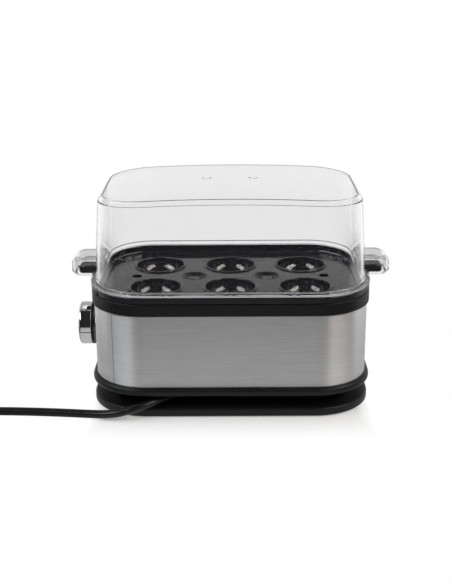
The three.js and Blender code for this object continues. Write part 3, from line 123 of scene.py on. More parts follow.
def outline(offset, z, steps=FINE, straight=1):
    """One ring of points on the body's rounded outline grown by offset, at height z.

    Each straight side is divided into as many equal lengths as straight says."""
    radius = CORNER_RADIUS + offset
    x = HALF_WIDTH + offset - radius
    y = HALF_DEPTH + offset - radius
    corners = ((1, 1), (-1, 1), (-1, -1), (1, -1))
    points = []
    for corner, (side_x, side_y) in enumerate(corners):
        for i in range(steps + 1):
            angle = (corner + i / steps) * math.pi / 2
            place = (side_x * x + radius * math.cos(angle), side_y * y + radius * math.sin(angle), z)
            points.append(Vector(place))
        next_x, next_y = corners[(corner + 1) % 4]
        start = points[-1]
        stop = start + Vector(((next_x - side_x) * x, (next_y - side_y) * y, 0))
        points += [start.lerp(stop, i / straight) for i in range(1, straight)]
    return points


def filleted(corners, steps=5):
    """A line through (across, along, radius) corners, with each corner rounded by its radius."""
    line = []
    for i, (x, z, radius) in enumerate(corners):
        here = Vector((x, z))
        if radius == 0:
            line.append(here)
            continue
        before = (Vector(corners[i - 1][:2]) - here).normalized()
        after = (Vector(corners[(i + 1) % len(corners)][:2]) - here).normalized()
        half = before.angle(after) / 2
        if half > math.pi / 2 - 0.01:
            line.append(here)
            continue
        centre = here + (before + after).normalized() * radius / math.sin(half)
        start = here + before * radius / math.tan(half) - centre
        stop = here + after * radius / math.tan(half) - centre
        turn = start.angle_signed(stop)
        for step in range(steps + 1):
            angle = -turn * step / steps
            line.append(centre + Matrix.Rotation(angle, 2) @ start)
    return line


def skin(rings, closed=False):
    """A mesh over rings of points. Rings of one point are tips; open ends are capped."""
    mesh = bmesh.new()
    made = [[mesh.verts.new(point * MM) for point in ring] for ring in rings]
    pairs = list(zip(made, made[1:]))
    if closed:
        pairs.append((made[-1], made[0]))
    for low, high in pairs:
        count = max(len(low), len(high))
        for i in range(count):
            after = (i + 1) % count
            corners = (low, i), (low, after), (high, after), (high, i)
            face = list(dict.fromkeys(ring[k % len(ring)] for ring, k in corners))
            if len(face) > 2:
                mesh.faces.new(face)
    if not closed:
        for ring in (made[0], made[-1]):
            if len(ring) > 2:
                mesh.faces.new(ring)
    bmesh.ops.remove_doubles(mesh, verts=mesh.verts, dist=1e-7)
    bmesh.ops.recalc_face_normals(mesh, faces=mesh.faces)
    return mesh


def lofted(corners, closed=False, steps=5, fine=FINE):
    """A body that follows the outline, with a section of filleted (offset, height, radius) corners."""
    rings = [outline(offset, z, fine) for offset, z in filleted(corners, steps)]
    return skin(rings, closed)


def rectangle(low_x, low_y, high_x, high_y, radius=0):
    """Corners of a rectangle, each with the radius that rounds it."""
    return [
        (low_x, low_y, radius), (high_x, low_y, radius), (high_x, high_y, radius), (low_x, high_y, radius),
    ]


def block(low, high):
    corners = rectangle(*low[:2], *high[:2])
    return skin([[Vector((x, y, z)) for x, y, radius in corners] for z in (low[2], high[2])])


def moved(mesh, matrix):
    bmesh.ops.transform(mesh, matrix=matrix, verts=mesh.verts)
    return mesh


def shifted(mesh, x, y, z):
    return moved(mesh, Matrix.Translation(Vector((x, y, z)) * MM))


def along_x(mesh, y=0.0, z=0.0):
    """Lays a body made about the Z axis along +X, at (y, z)."""
    return shifted(moved(mesh, Matrix.Rotation(math.pi / 2, 4, "Y")), 0, y, z)


def along_y(mesh, x=0.0, z=0.0):
    """Lays a body made about the Z axis along +Y, at (x, z)."""
    return shifted(moved(mesh, Matrix.Rotation(-math.pi / 2, 4, "X")), x, 0, z)


def turned(profile, sides, closed=False):
    """A body about the Z axis from (radius, height) points; a point on the axis is one vertex."""
    rings = []
    for radius, height in profile:
        angles = [i / sides * math.tau for i in range(sides if radius else 1)]
        rings.append([Vector((radius * math.cos(a), radius * math.sin(a), height)) for a in angles])
    return skin(rings, closed)


def lathed(corners, sides, closed=False, steps=5):
    """A body turned about the Z axis from filleted (radius, height, fillet) corners."""
    return turned(filleted(corners, steps), sides, closed)


def peg(low, high, radius, sides=40):
    return turned([(0, low), (radius, low), (radius, high), (0, high)], sides)


def post_at(x, y, low, high, radius, sides=32):
    return shifted(peg(low, high, radius, sides), x, y, 0)


def in_quarters(*posts):
    """The same posts, each (place, low, high, radius), in all four quarters of the outline."""
    return [
        post_at(side_x * place.x, side_y * place.y, low, high, radius)
        for side_x, side_y in ((-1, -1), (1, -1), (-1, 1), (1, 1))
        for place, low, high, radius in posts
    ]


def data_of(mesh, name="part"):
    data = bpy.data.meshes.new(name)
    mesh.to_mesh(data)
    mesh.free()
    return data


def both_ends(mesh):
    """The same body at one end and, turned half round the middle of the object, at the other."""
    return [mesh.copy(), moved(mesh, Matrix.Rotation(math.pi, 4, "Z"))]


def gathered(meshes):
    """Several separate bodies as one mesh."""
    together = bmesh.new()
    for mesh in meshes:
        data = data_of(mesh)
        together.from_mesh(data)
        bpy.data.meshes.remove(data)
    return together


def holder(mesh, name="part"):
    made = bpy.data.objects.new(name, data_of(mesh, name))
    bpy.context.scene.collection.objects.link(made)
    return made


def baked(holding):
    """The holder's mesh with its modifiers, as a new bmesh; the holder is deleted."""
    bpy.context.view_layer.update()
    graph = bpy.context.evaluated_depsgraph_get()
    data = bpy.data.meshes.new_from_object(holding.evaluated_get(graph))
    mesh = bmesh.new()
    mesh.from_mesh(data)
    bpy.data.meshes.remove(data)
    delete(holding)
    return mesh


def delete(holding):
    data = holding.data
    bpy.data.objects.remove(holding)
    bpy.data.meshes.remove(data)


def combined(mesh, tools, operation):
    """mesh with the tools' bodies joined to it, cut from it or kept in common."""
    target = holder(mesh)
    other = holder(gathered(tools))
    modifier = target.modifiers.new("combine", "BOOLEAN")
    modifier.operation = operation
    modifier.solver = "MANIFOLD"
    modifier.object = other
    result = baked(target)
    delete(other)
    bmesh.ops.remove_doubles(result, verts=result.verts, dist=2e-6)
    bmesh.ops.dissolve_degenerate(result, dist=1e-6, edges=result.edges)
    return result


def joined(mesh, *tools):
    return combined(mesh, tools, "UNION")


def cut(mesh, *tools):
    return combined(mesh, tools, "DIFFERENCE")


def piece(name, mesh, body, slot, replaced, sharp=34.0):
    """Puts a finished mesh in the scene as a piece that rides on a body, with its slot's material.

    Edges that turn by more than sharp degrees stay sharp."""
    made = holder(mesh, name)
    made.data.materials.append(SLOT_MATERIALS[slot])
    made.data.shade_smooth()
    made.data.set_sharp_from_angle(angle=math.radians(sharp))
    weighted = made.modifiers.new("flat_faces_stay_flat", "WEIGHTED_NORMAL")
    weighted.keep_sharp = True
    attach(made, body)
    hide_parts(*replaced)
    return made


# Materials

def feed(node, inputs):
    """Sets inputs of a node to values, or links them to outputs of other nodes."""
    for name, value in inputs.items():
        if isinstance(value, bpy.types.NodeSocket):
            node.id_data.links.new(value, node.inputs[name])
        else:
            node.inputs[name].default_value = value


def add_node(tree, kind, inputs=None, **settings):
    node = tree.nodes.new(kind)
    for key, value in settings.items():
        setattr(node, key, value)
    feed(node, inputs or {})
    return node


def node_set(name):
    material = bpy.data.materials.new(name)
    material.use_nodes = True
    tree = material.node_tree
    return material, tree, tree.nodes["Principled BSDF"]


def surface(tree, shader):
    feed(tree.nodes["Material Output"], {"Surface": shader})


def ray_kinds(tree):
    return add_node(tree, "ShaderNodeLightPath").outputs


def coordinates(tree, kind):
    return add_node(tree, "ShaderNodeTexCoord").outputs[kind]


def axes(tree, kind):
    """X, Y and Z of a kind of coordinates."""
    return add_node(tree, "ShaderNodeSeparateXYZ", {"Vector": coordinates(tree, kind)}).outputs


def maths(tree, operation, first, second=0.0):
    return add_node(tree, "ShaderNodeMath", {0: first, 1: second}, operation=operation).outputs[0]


def noise(tree, scale, detail=3.0, roughness=0.55, stretch=(1, 1, 1)):
    """Noise in the object's own place, with scale in repeats per metre."""
    place = {"Vector": coordinates(tree, "Object"), "Scale": stretch}
    mapping = add_node(tree, "ShaderNodeMapping", place)
    return add_node(tree, "ShaderNodeTexNoise", {
        "Vector": mapping.outputs["Vector"], "Scale": scale, "Detail": detail, "Roughness": roughness,
    }).outputs["Fac"]


def ranged(tree, source, low, high, from_low=0.3, from_high=0.7):
    """low to high while source goes from from_low to from_high, and level on both sides."""
    return add_node(tree, "ShaderNodeMapRange", {
        "Value": source, "From Min": from_low, "From Max": from_high, "To Min": low, "To Max": high,
    }).outputs["Result"]


def mixed(tree, factor, first, second):
    """The first colour where factor is 0 and the second where it is 1."""
    colours = {"Factor": factor, "A": (*first, 1), "B": (*second, 1)}
    return add_node(tree, "ShaderNodeMix", colours, data_type="RGBA").outputs["Result"]


def either(tree, factor, first, second):
    """The first shader where factor is 0 and the second where it is 1."""
    return add_node(tree, "ShaderNodeMixShader", {0: factor, 1: first, 2: second}).outputs["Shader"]


def bump(tree, height, distance, strength=1.0, before=None):
    """The normal of a relief as high as distance, over the normal before."""
    inputs = {"Strength": strength, "Distance": distance * MM, "Height": height}
    if before is not None:
        inputs["Normal"] = before
    return add_node(tree, "ShaderNodeBump", inputs).outputs["Normal"]


def tinted(colour, factor):
    return tuple(channel * factor for channel in colour)


# Upward part of the normal where a moulding's shine starts to change from that of its walls, and stops
SHEER_TO_FLAT = (0.05, 0.2)


def moulded(name, colour, roughness, grain=900.0, grain_depth=0.012, specular=0.35, spread=0.05,
            waviness=0.0, sheer_specular=None):
    """Moulded plastic or rubber: a fine grain, slow changes of gloss and a faint change of shade.

    With sheer_specular, upright walls shine differently from the rest."""
    material, tree, shader = node_set(name)
    slow = noise(tree, 60)
    normal = bump(tree, noise(tree, grain, detail=4), grain_depth)
    if waviness:
        normal = bump(tree, noise(tree, 25, detail=1), waviness, before=normal)
    shine = specular
    if sheer_specular is not None:
        shine = ranged(tree, axes(tree, "Normal")["Z"], sheer_specular, specular, *SHEER_TO_FLAT)
    feed(shader, {
        "Base Color": mixed(tree, slow, tinted(colour, 0.82), tinted(colour, 1.2)),
        "Roughness": ranged(tree, slow, roughness - spread, roughness + spread),
        "Specular IOR Level": shine,
        "Normal": normal,
    })
    return material


def brushed(name, colour, roughness, anisotropy, streak_length, streak_width, contrast):
    """Brushed sheet: level streaks along the surface, with fine scratches in gloss and height."""
    material, tree, shader = node_set(name)
    along = 1 / streak_length
    across = 1 / streak_width
    streaks = noise(tree, 1000, detail=5, roughness=0.7, stretch=(along, along, across))
    fine = noise(tree, 1000, detail=2, stretch=(along * 2, along * 2, across * 5))
    shade = ranged(tree, streaks, 0, 1)
    tangent = add_node(tree, "ShaderNodeTangent", direction_type="RADIAL", axis="Z")
    normal = bump(tree, fine, 0.006, strength=0.5)
    feed(shader, {
        "Base Color": mixed(tree, shade, tinted(colour, 1 - contrast), tinted(colour, 1 + contrast)),
        "Metallic": 1,
        "Roughness": ranged(tree, fine, roughness - 0.05, roughness + 0.05),
        "Anisotropic": anisotropy,
        "Anisotropic Rotation": 0.25,
        "Tangent": tangent.outputs["Tangent"],
        "Normal": bump(tree, noise(tree, 9, detail=2), 0.08, strength=0.4, before=normal),
    })
    return material


def polished(name, colour, roughness, smudge=0.04):
    """Bright metal: faint smudges in the gloss and a barely uneven surface."""
    material, tree, shader = node_set(name)
    feed(shader, {
        "Base Color": (*colour, 1),
        "Metallic": 1,
        "Roughness": ranged(tree, noise(tree, 140, detail=4), roughness, roughness + smudge),
        "Normal": bump(tree, noise(tree, 60, detail=1), 0.01),
    })
    return material


def plated(name, colour, roughness, mottle=0.12):
    """Plated, cast or rolled metal: mottled shade and gloss with a fine uneven surface."""
    material, tree, shader = node_set(name)
    spots = noise(tree, 400, detail=5)
    feed(shader, {
        "Base Color": mixed(tree, spots, tinted(colour, 1 - mottle), tinted(colour, 1 + mottle)),
        "Metallic": 1,
        "Roughness": ranged(tree, spots, roughness - 0.06, roughness + 0.08),
        "Normal": bump(tree, spots, 0.01),
    })
    return material


LID_TINT = (0.96, 0.96, 0.965)
# Painted shade on the grips: their glass is made greyer to stand in for the reflections on them. The change
# starts between these distances aside, in metres.
GRIP_PAINTED_GREY = (0.83, 0.83, 0.84)
GRIP_PAINTED_GREY_FROM = (0.1075, 0.1085)
LID_SHADOW = (0.88, 0.88, 0.88)


def clear_plastic(name):
    """Clear polished plastic: a faint grey tint, with painted shade at the grips that stands in for the grey
    reflections on them, and the waviness of a moulding.

    Light from the lamps passes straight through, dimmed a little."""
    material, tree, shader = node_set(name)
    aside = maths(tree, "ABSOLUTE", axes(tree, "Object")["X"])
    # Painted shade: the grips' glass is darker, standing in for the grey reflections on them
    painted_grey_share = ranged(tree, aside, 0.0, 1.0, *GRIP_PAINTED_GREY_FROM)
    feed(shader, {
        "Base Color": mixed(tree, painted_grey_share, LID_TINT, GRIP_PAINTED_GREY),
        "Transmission Weight": 1,
        "IOR": 1.5,
        "Roughness": ranged(tree, noise(tree, 200), 0.0, 0.012),
        "Normal": bump(tree, noise(tree, 22, detail=1), 0.05),
    })
    dimmed = add_node(tree, "ShaderNodeBsdfTransparent", {"Color": (*LID_SHADOW, 1)})
    shadow = ray_kinds(tree)["Is Shadow Ray"]
    surface(tree, either(tree, shadow, shader.outputs["BSDF"], dimmed.outputs["BSDF"]))
    return material


SLOT_MATERIALS = {
    "black_plastic": moulded("black_plastic", (0.007, 0.007, 0.0075), 0.36, specular=0.25),
    "tray_black": moulded(
        "tray_black", (0.013, 0.013, 0.0145), 0.08, grain=500, grain_depth=0.001, specular=0.8,
        spread=0.02, waviness=0.01, sheer_specular=0.2,
    ),
    "clear_plastic": clear_plastic("clear_plastic"),
    "brushed_steel": brushed(
        "brushed_steel", (0.8, 0.8, 0.8), 0.4, anisotropy=0.9, streak_length=26.0, streak_width=0.9,
        contrast=0.07,
    ),
    "chrome": polished("chrome", (0.86, 0.86, 0.87), 0.03),
    "rubber": moulded("rubber_black", (0.008, 0.008, 0.008), 0.75, specular=0.25),
    "cord_black": moulded(
        "cord_black", (0.004, 0.004, 0.0045), 0.3, grain=1500, grain_depth=0.01, specular=0.4,
    ),
    "silicone": moulded("silicone_red", (0.3, 0.03, 0.02), 0.55),
    "coated_aluminium": moulded(
        "coated_aluminium", (0.06, 0.06, 0.062), 0.3, grain=700, grain_depth=0.01, specular=0.5,
    ),
    "aluminium": plated("aluminium", (0.55, 0.55, 0.56), 0.38),
    "zinc_steel": plated("zinc_steel", (0.52, 0.52, 0.5), 0.3),
    "brass": plated("brass", (0.62, 0.45, 0.17), 0.28),
    "ceramic": moulded("ceramic_white", (0.72, 0.67, 0.58), 0.5, grain=1200, grain_depth=0.02),
    "wire_brown": moulded("wire_brown", (0.13, 0.04, 0.015), 0.4),
    "wire_blue": moulded("wire_blue", (0.02, 0.08, 0.32), 0.4),
    "wire_green": moulded("wire_green", (0.22, 0.36, 0.02), 0.4),
}


# Every node that stays as it is gets its slot's material
for row in frame["record"]["subparts"]:
    node = frame["nodes"][row["node"]]
    node.data.materials.clear()
    node.data.materials.append(SLOT_MATERIALS[row["material_slot"]])

BODY = "cooker_body"


# The lead, with the same route as the solids it replaces. Its facet gap keeps the corners of its facets
# within the space of the solids.

LEAD_RADIUS = 3.25
LEAD_SIDES = 20
LEAD_FACET_GAP = 0.2
LEAD_ROUTE = [
    (-24.3, -48.5, 12.2), (-27.25, -48.5, 12.2), (-33.5, -50.6, 12.1), (-40, -54.5, 12),
    (-48, -60.8, 11.7), (-56.5, -68.2, 11.5), (-65, -74.4, 11), (-74, -77.9, 9.2),
    (-84, -78.3, 6.5), (-95, -76.4, 4.4), (-107, -74.1, 3.6), (-122, -72.2, 3.5),
    (-142, -70.2, 3.5), (-165, -68.6, 3.5), (-188, -67.9, 3.5), (-210, -67.7, 3.7),
    (-224, -67.7, 4.35), (-235.7, -67.7, 4.35),
]
COIL_CENTRE = Vector((-236, -28.2))
COIL_OUTER = 39.5
COIL_INNER = 32.1
COIL_LOW = 4.35
COIL_RISE = 7
COIL_TURNS = 0.875
COIL_CLIMB_TURNS = 0.5
COIL_ALL_TURNS = COIL_TURNS * 2 + COIL_CLIMB_TURNS
COIL_STEPS = 96
PLUG_RUN = 36
PLUG_RUN_STEPS = 12


def spline(points, steps):
    """Points of a centripetal Catmull-Rom curve through the given points."""
    known = [Vector(point) for point in points]
    known = [2 * known[0] - known[1], *known, 2 * known[-1] - known[-2]]
    line = []
    for i in range(1, len(known) - 2):
        p0, p1, p2, p3 = known[i - 1:i + 3]
        t1 = math.sqrt((p1 - p0).length)
        t2 = t1 + math.sqrt((p2 - p1).length)
        t3 = t2 + math.sqrt((p3 - p2).length)
        for step in range(steps):
            t = t1 + (t2 - t1) * step / steps
            a1 = p0.lerp(p1, t / t1)
            a2 = p1.lerp(p2, (t - t1) / (t2 - t1))
            a3 = p2.lerp(p3, (t - t2) / (t3 - t2))
            b1 = a1.lerp(a2, t / t2)
            b2 = a2.lerp(a3, (t - t1) / (t3 - t1))
            line.append(b1.lerp(b2, (t - t1) / (t2 - t1)))
    line.append(known[-2])
    return line


def smooth_share(value, low, high):
    """0 up to low and 1 from high on, with a soft start and end between them."""
    share = min(max((value - low) / (high - low), 0), 1)
    return share * share * (3 - 2 * share)


def coil_point(turns):
    """The lead winds inwards on the floor, climbs a step and winds outwards on top of itself."""
    winding_in = min(turns / COIL_TURNS, 1)
    winding_out = max((turns - COIL_ALL_TURNS + COIL_TURNS) / COIL_TURNS, 0)
    radius = COIL_OUTER - (COIL_OUTER - COIL_INNER) * (winding_in - winding_out)
    climbed = smooth_share(turns, COIL_TURNS, COIL_TURNS + COIL_CLIMB_TURNS)
    angle = -math.pi / 2 - turns * math.tau
    place = COIL_CENTRE + radius * Vector((math.cos(angle), math.sin(angle)))
    return Vector((*place, COIL_LOW + climbed * COIL_RISE))


def lead_line():
    """Points of the whole lead from its gland to the plug: the route, the coil and a run to the plug."""
    steps = round(COIL_ALL_TURNS * COIL_STEPS)
    front = min(y for x, y, z in LEAD_ROUTE) + LEAD_FACET_GAP
    line = [Vector((x, max(y, front), z)) for x, y, z in spline(LEAD_ROUTE, 6)]
    line += [coil_point(i / steps * COIL_ALL_TURNS) for i in range(1, steps + 1)]
    last = line[-1]
    for i in range(1, PLUG_RUN_STEPS + 1):
        share = i / PLUG_RUN_STEPS
        rise = smooth_share(share, 0, 1) * (plug_axis - last.z)
        line.append(Vector((last.x, last.y + PLUG_RUN * share, last.z + rise)))
    line.append(line[-1] + Vector((0, LEAD_RADIUS * 2, 0)))
    return line


def tube(line, radius, sides):
    """A round tube along a line of points, with rings square to the line."""
    rings = []
    side = (line[1] - line[0]).orthogonal()
    for i, point in enumerate(line):
        before = line[max(i - 1, 0)]
        after = line[min(i + 1, len(line) - 1)]
        turn_to = (after - before).normalized()
        side = (side - turn_to * side.dot(turn_to)).normalized()
        up = turn_to.cross(side)
        rings.append([
            point + side * radius * math.cos(k / sides * math.tau)
            + up * radius * math.sin(k / sides * math.tau)
            for k in range(sides)
        ])
    return skin(rings)


TIE_ANGLE = math.radians(-135)
TIE_WIDTH = 7
TIE_THICKNESS = 0.8
TIE_CLEARANCE = 0.9
TIE_EDGE = 0.25


def tie_mesh():
    """A flat band round both windings of the coil."""
    inner = COIL_INNER - LEAD_RADIUS - TIE_CLEARANCE
    outer = COIL_OUTER + LEAD_RADIUS + TIE_CLEARANCE
    low = TIE_THICKNESS
    high = COIL_LOW + COIL_RISE + LEAD_RADIUS + TIE_CLEARANCE
    radius = LEAD_RADIUS - TIE_THICKNESS
    section = rectangle(0, -TIE_WIDTH / 2, TIE_THICKNESS, TIE_WIDTH / 2, TIE_EDGE)
    rings = []
    for grow, y in filleted(section, steps=2):
        corners = rectangle(inner - grow, low - grow, outer + grow, high + grow, radius + grow)
        rings.append([Vector((x, y, z)) for x, z in filleted(corners, steps=6)])
    mesh = skin(rings, closed=True)
    turn = Matrix.Rotation(TIE_ANGLE, 4, "Z")
    return shifted(moved(mesh, turn), COIL_CENTRE.x, COIL_CENTRE.y, 0)


GROOVE_SLOPE = 0.2


def grooves(count, start, length, first_radius, last_radius, half, edge):
    """Corners of evenly spaced round grooves on a turned body that changes evenly in radius.

    Each groove is 2 * half wide and half deep."""
    corners = []
    for i in range(1, count + 1):
        share = i / (count + 1)
        place = start + length * share
        radius = first_radius + (last_radius - first_radius) * share
        corners += [
            (radius, place - half, edge), (radius - half, place - half + GROOVE_SLOPE, edge),
            (radius - half, place + half - GROOVE_SLOPE, edge), (radius, place + half, edge),
        ]
    return corners


PLUG_SLEEVE = 20
PLUG_SLEEVE_RADIUS = 4.6
PLUG_NECK_RADIUS = 6.4
PLUG_GRIP = 12
PLUG_GRIP_RADIUS = 13
PLUG_FACE_RADIUS = 17.4
PLUG_RECESS_RADIUS = 15.6
PLUG_RECESS = 1.2
PLUG_FLANK = 0.93
PIN_RADIUS = 2.4
PIN_SPACING = 19
PIN_HOLE_DEPTH = 5.2


def plug_mesh():
    start = plug_low.y
    grip = start + PLUG_SLEEVE
    face = grip + PLUG_GRIP
    end = plug_high.y
    profile = [(0, start, 0), (PLUG_SLEEVE_RADIUS, start, 0.5)]
    profile += grooves(5, start, PLUG_SLEEVE, PLUG_SLEEVE_RADIUS, PLUG_NECK_RADIUS, 0.9, 0.25)
    profile += [
        (PLUG_NECK_RADIUS, grip, 1.5), (PLUG_GRIP_RADIUS, grip + 3.2, 3), (PLUG_GRIP_RADIUS, face - 2.4, 3),
        (PLUG_FACE_RADIUS, face + 1.2, 2.5), (PLUG_FACE_RADIUS, end, 1.0),
        (PLUG_RECESS_RADIUS, end, 0.4), (PLUG_RECESS_RADIUS, end - PLUG_RECESS, 0.4),
        (0, end - PLUG_RECESS, 0),
    ]
    mesh = along_y(lathed(profile, 72, steps=4), plug_middle, plug_axis)
    flank = PLUG_FACE_RADIUS * PLUG_FLANK
    side = PLUG_FACE_RADIUS + PAST
    keep = block((plug_middle - side, start - PAST, plug_axis - flank),
                 (plug_middle + side, end + PAST, plug_axis + flank))
    mesh = combined(mesh, [keep], "INTERSECT")
    holes = [
        along_y(peg(end - PIN_HOLE_DEPTH, end + PAST, PIN_RADIUS + FIT), plug_middle + x, plug_axis)
        for x in (-PIN_SPACING / 2, PIN_SPACING / 2)
    ]
    return cut(mesh, *holes)


def pin_mesh(node):
    low, high = box_mm(node)
    profile = [(0, low.y, 0), (PIN_RADIUS, low.y, 0.2), (PIN_RADIUS, high.y, 1.6), (0, high.y, 0)]
    return along_y(lathed(profile, 32, steps=6), (low.x + high.x) / 2, plug_axis)


GLAND_TIP_RADIUS = 3.9
GLAND_ROOT_RADIUS = 4.6
GLAND_HEAD = 1.6
EXIT_X = 2.0
EXIT_Y = LEAD_ROUTE[0][1]
EXIT_Z = LEAD_ROUTE[0][2]


def gland_mesh():
    tip = gland_low.x
    head = gland_high.x - GLAND_HEAD
    profile = [(0, tip, 0), (GLAND_TIP_RADIUS, tip, 0.5)]
    profile += grooves(5, tip, EXIT_X - tip, GLAND_TIP_RADIUS, GLAND_ROOT_RADIUS, 0.8, 0.2)
    profile += [
        (GLAND_ROOT_RADIUS, EXIT_X - FIT, 0.2), (GLAND_TIP_RADIUS, EXIT_X - FIT, 0.1),
        (GLAND_TIP_RADIUS, head, 0.1), (GLAND_ROOT_RADIUS, head, 0.2),
        (GLAND_ROOT_RADIUS, gland_high.x, 0.2), (0, gland_high.x, 0),
    ]
    return along_x(lathed(profile, 40, steps=3), EXIT_Y, EXIT_Z)


def make_lead():
    line = lead_line()
    mesh = tube(line, LEAD_RADIUS, LEAD_SIDES)
    lead = piece("lead", mesh, BODY, "cord_black", ["cord", "cord_coil"], sharp=60)
    tie = piece("lead_tie", tie_mesh(), BODY, "black_plastic", ["cord_tie"])
    plug = piece("plug", plug_mesh(), BODY, "cord_black", ["plug_body"])
    gland = piece("strain_relief", gland_mesh(), BODY, "cord_black", ["cord_gland"])
    pins = [
        piece(f"{node}_round", pin_mesh(node), BODY, "zinc_steel", [node])
        for node in ("plug_pin_outer", "plug_pin_inner")
    ]


make_lead()


# Foot plate

PLATE_WALL = 2.4
FOOT_RECESS = 1.1
FOOT_GAP = 0.4
HEAD_RADIUS = 3.5
HEAD_ROOM = 1.6
SCREW_RADIUS = 1.8
SCREW_WALL = 1.1


def foot_plate_mesh():
    offset = plate_high.x - HALF_WIDTH
    ceiling = plate_high.z - PLATE_WALL
    mesh = lofted([
        (offset - PLATE_WALL, ceiling, 0), (offset - PLATE_WALL, plate_low.z, 0.4),
        (offset, plate_low.z, 0.9), (offset, plate_high.z, 1.5), (offset - 8, plate_high.z, 0),
    ])
    foot_low, foot_high = box_mm("rubber_foot_rear_right")
    foot = (foot_low + foot_high) / 2
    foot_radius = (foot_high.x - foot_low.x) / 2
    screw_low, screw_high = box_mm("foot_plate_screw_rear_right")
    screw = (screw_low + screw_high) / 2
    mesh = joined(mesh, *in_quarters(
        (foot, foot_low.z + FOOT_RECESS, ceiling + 1, foot_radius + PLATE_WALL),
        (screw, screw_low.z + FIT, ceiling + 1, HEAD_RADIUS + SCREW_WALL),
    ))
    for bore in in_quarters(
        (foot, -PAST, ceiling, foot_radius + FOOT_GAP),
        (screw, -PAST, screw_low.z + HEAD_ROOM, HEAD_RADIUS),
        (screw, -PAST, plate_high.z + PAST, SCREW_RADIUS),
    ):
        mesh = cut(mesh, bore)
    return mesh


def round_foot(node):
    low, high = box_mm(node)
    radius = (high.y - low.y) / 2
    profile = [(0, low.z, 0), (radius, low.z, 0.8), (radius, high.z, 0.2), (0, high.z, 0)]
    return shifted(lathed(profile, 48), (low.x + high.x) / 2, (low.y + high.y) / 2, 0)


piece("foot_plate_moulding", foot_plate_mesh(), BODY, "black_plastic", ["foot_plate"])
for corner in ("front_left", "front_right", "rear_left", "rear_right"):
    node = f"rubber_foot_{corner}"
    piece(f"{node}_round", round_foot(node), BODY, "rubber", [node])


# Base housing: the ring, the neck under it and the pocket where the lead comes out

NECK_INSET = 14.5
HOUSING_WALL = 2.4
NECK_FLOOR = 1.6
FLANGE = 2.8
RING_HEIGHT = 6.5
SPIGOT_INSET = 1.3
SPIGOT_WALL = 2.0
POCKET_DEPTH = 14.0
LEAD_HOLE_RADIUS = 4.2

ring_top = sleeve_low.z - FIT
ring_bottom = ring_top - RING_HEIGHT
flange_top = ring_bottom + FLANGE
pocket_y = -HALF_DEPTH + NECK_INSET + POCKET_DEPTH


def housing_mesh():
    """Hollow from the neck's floor up, but for the walls that shut off the pocket."""
    ring = housing_high.x - HALF_WIDTH
    neck = -NECK_INSET
    spigot_inner = -SPIGOT_INSET - SPIGOT_WALL
    mesh = lofted([
        (neck - 8, housing_low.z, 0), (neck, housing_low.z, 1.5), (neck, ring_bottom, 0.8),
        (ring, ring_bottom, 2.6), (ring, ring_top, 2.6), (-SPIGOT_INSET, ring_top, 0.2),
        (-SPIGOT_INSET, housing_high.z, 0.4), (spigot_inner, housing_high.z, 0.4),
        (spigot_inner, flange_top, 0.5), (spigot_inner - 6, flange_top, 0),
    ], steps=6)
    far = 2 * HALF_WIDTH
    floor_top = housing_low.z + NECK_FLOOR
    pocket = block((-far, -far, -PAST), (EXIT_X, pocket_y, ring_bottom))
    kept = block((-far, -far, -PAST), (EXIT_X + HOUSING_WALL, pocket_y + HOUSING_WALL, flange_top))
    inner = neck - HOUSING_WALL
    cavity = cut(skin([outline(inner, floor_top), outline(inner, flange_top + PAST)]), kept)
    hole = along_x(peg(EXIT_X - PAST, EXIT_X + PAST, LEAD_HOLE_RADIUS), EXIT_Y, EXIT_Z)
    for tool in (pocket, cavity, hole):
        mesh = cut(mesh, tool)
    return mesh


piece("base_moulding", housing_mesh(), BODY, "black_plastic", ["base_housing"])


# Steel sleeve: its sheet meets itself at a seam on the left front corner

SHEET = 0.9
SHEET_EDGE = 0.15
SHAFT_HOLE_RADIUS = 5.7
SEAM_X = -89.5
SEAM_WIDTH = 0.8
SEAM_DEPTH = 0.6


def sleeve_mesh():
    low = sleeve_low.z
    high = sleeve_high.z
    mesh = lofted(rectangle(-SHEET, low, 0, high, SHEET_EDGE), closed=True, steps=2, fine=40)
    hole = along_x(peg(-HALF_WIDTH - PAST, -HALF_WIDTH + PAST, SHAFT_HOLE_RADIUS), 0, knob_height)
    centre = Vector((-HALF_WIDTH + CORNER_RADIUS, -HALF_DEPTH + CORNER_RADIUS))
    angle = math.asin((centre.x - SEAM_X) / CORNER_RADIUS)
    seam = block(
        (-SEAM_WIDTH / 2, -CORNER_RADIUS - PAST, low - PAST),
        (SEAM_WIDTH / 2, -CORNER_RADIUS + SEAM_DEPTH, high + PAST),
    )
    seam = shifted(moved(seam, Matrix.Rotation(-angle, 4, "Z")), centre.x, centre.y, 0)
    return cut(mesh, hole, seam)


piece("steel_wall", sleeve_mesh(), BODY, "brushed_steel", ["steel_sleeve"])


# Rim collar: a band, a spigot inside the sleeve, a seat for the pan and four screw posts

MOUTH_INSET = 2.9
SEAT_INSET = 11.0
SEAT_DEPTH = 6.7
SEAT_THICKNESS = 2.0
COLLAR_SPIGOT = (-1.2, -3.2)
COLLAR_SPIGOT_DEPTH = 5.6
COLLAR_POST_RADIUS = 3.6


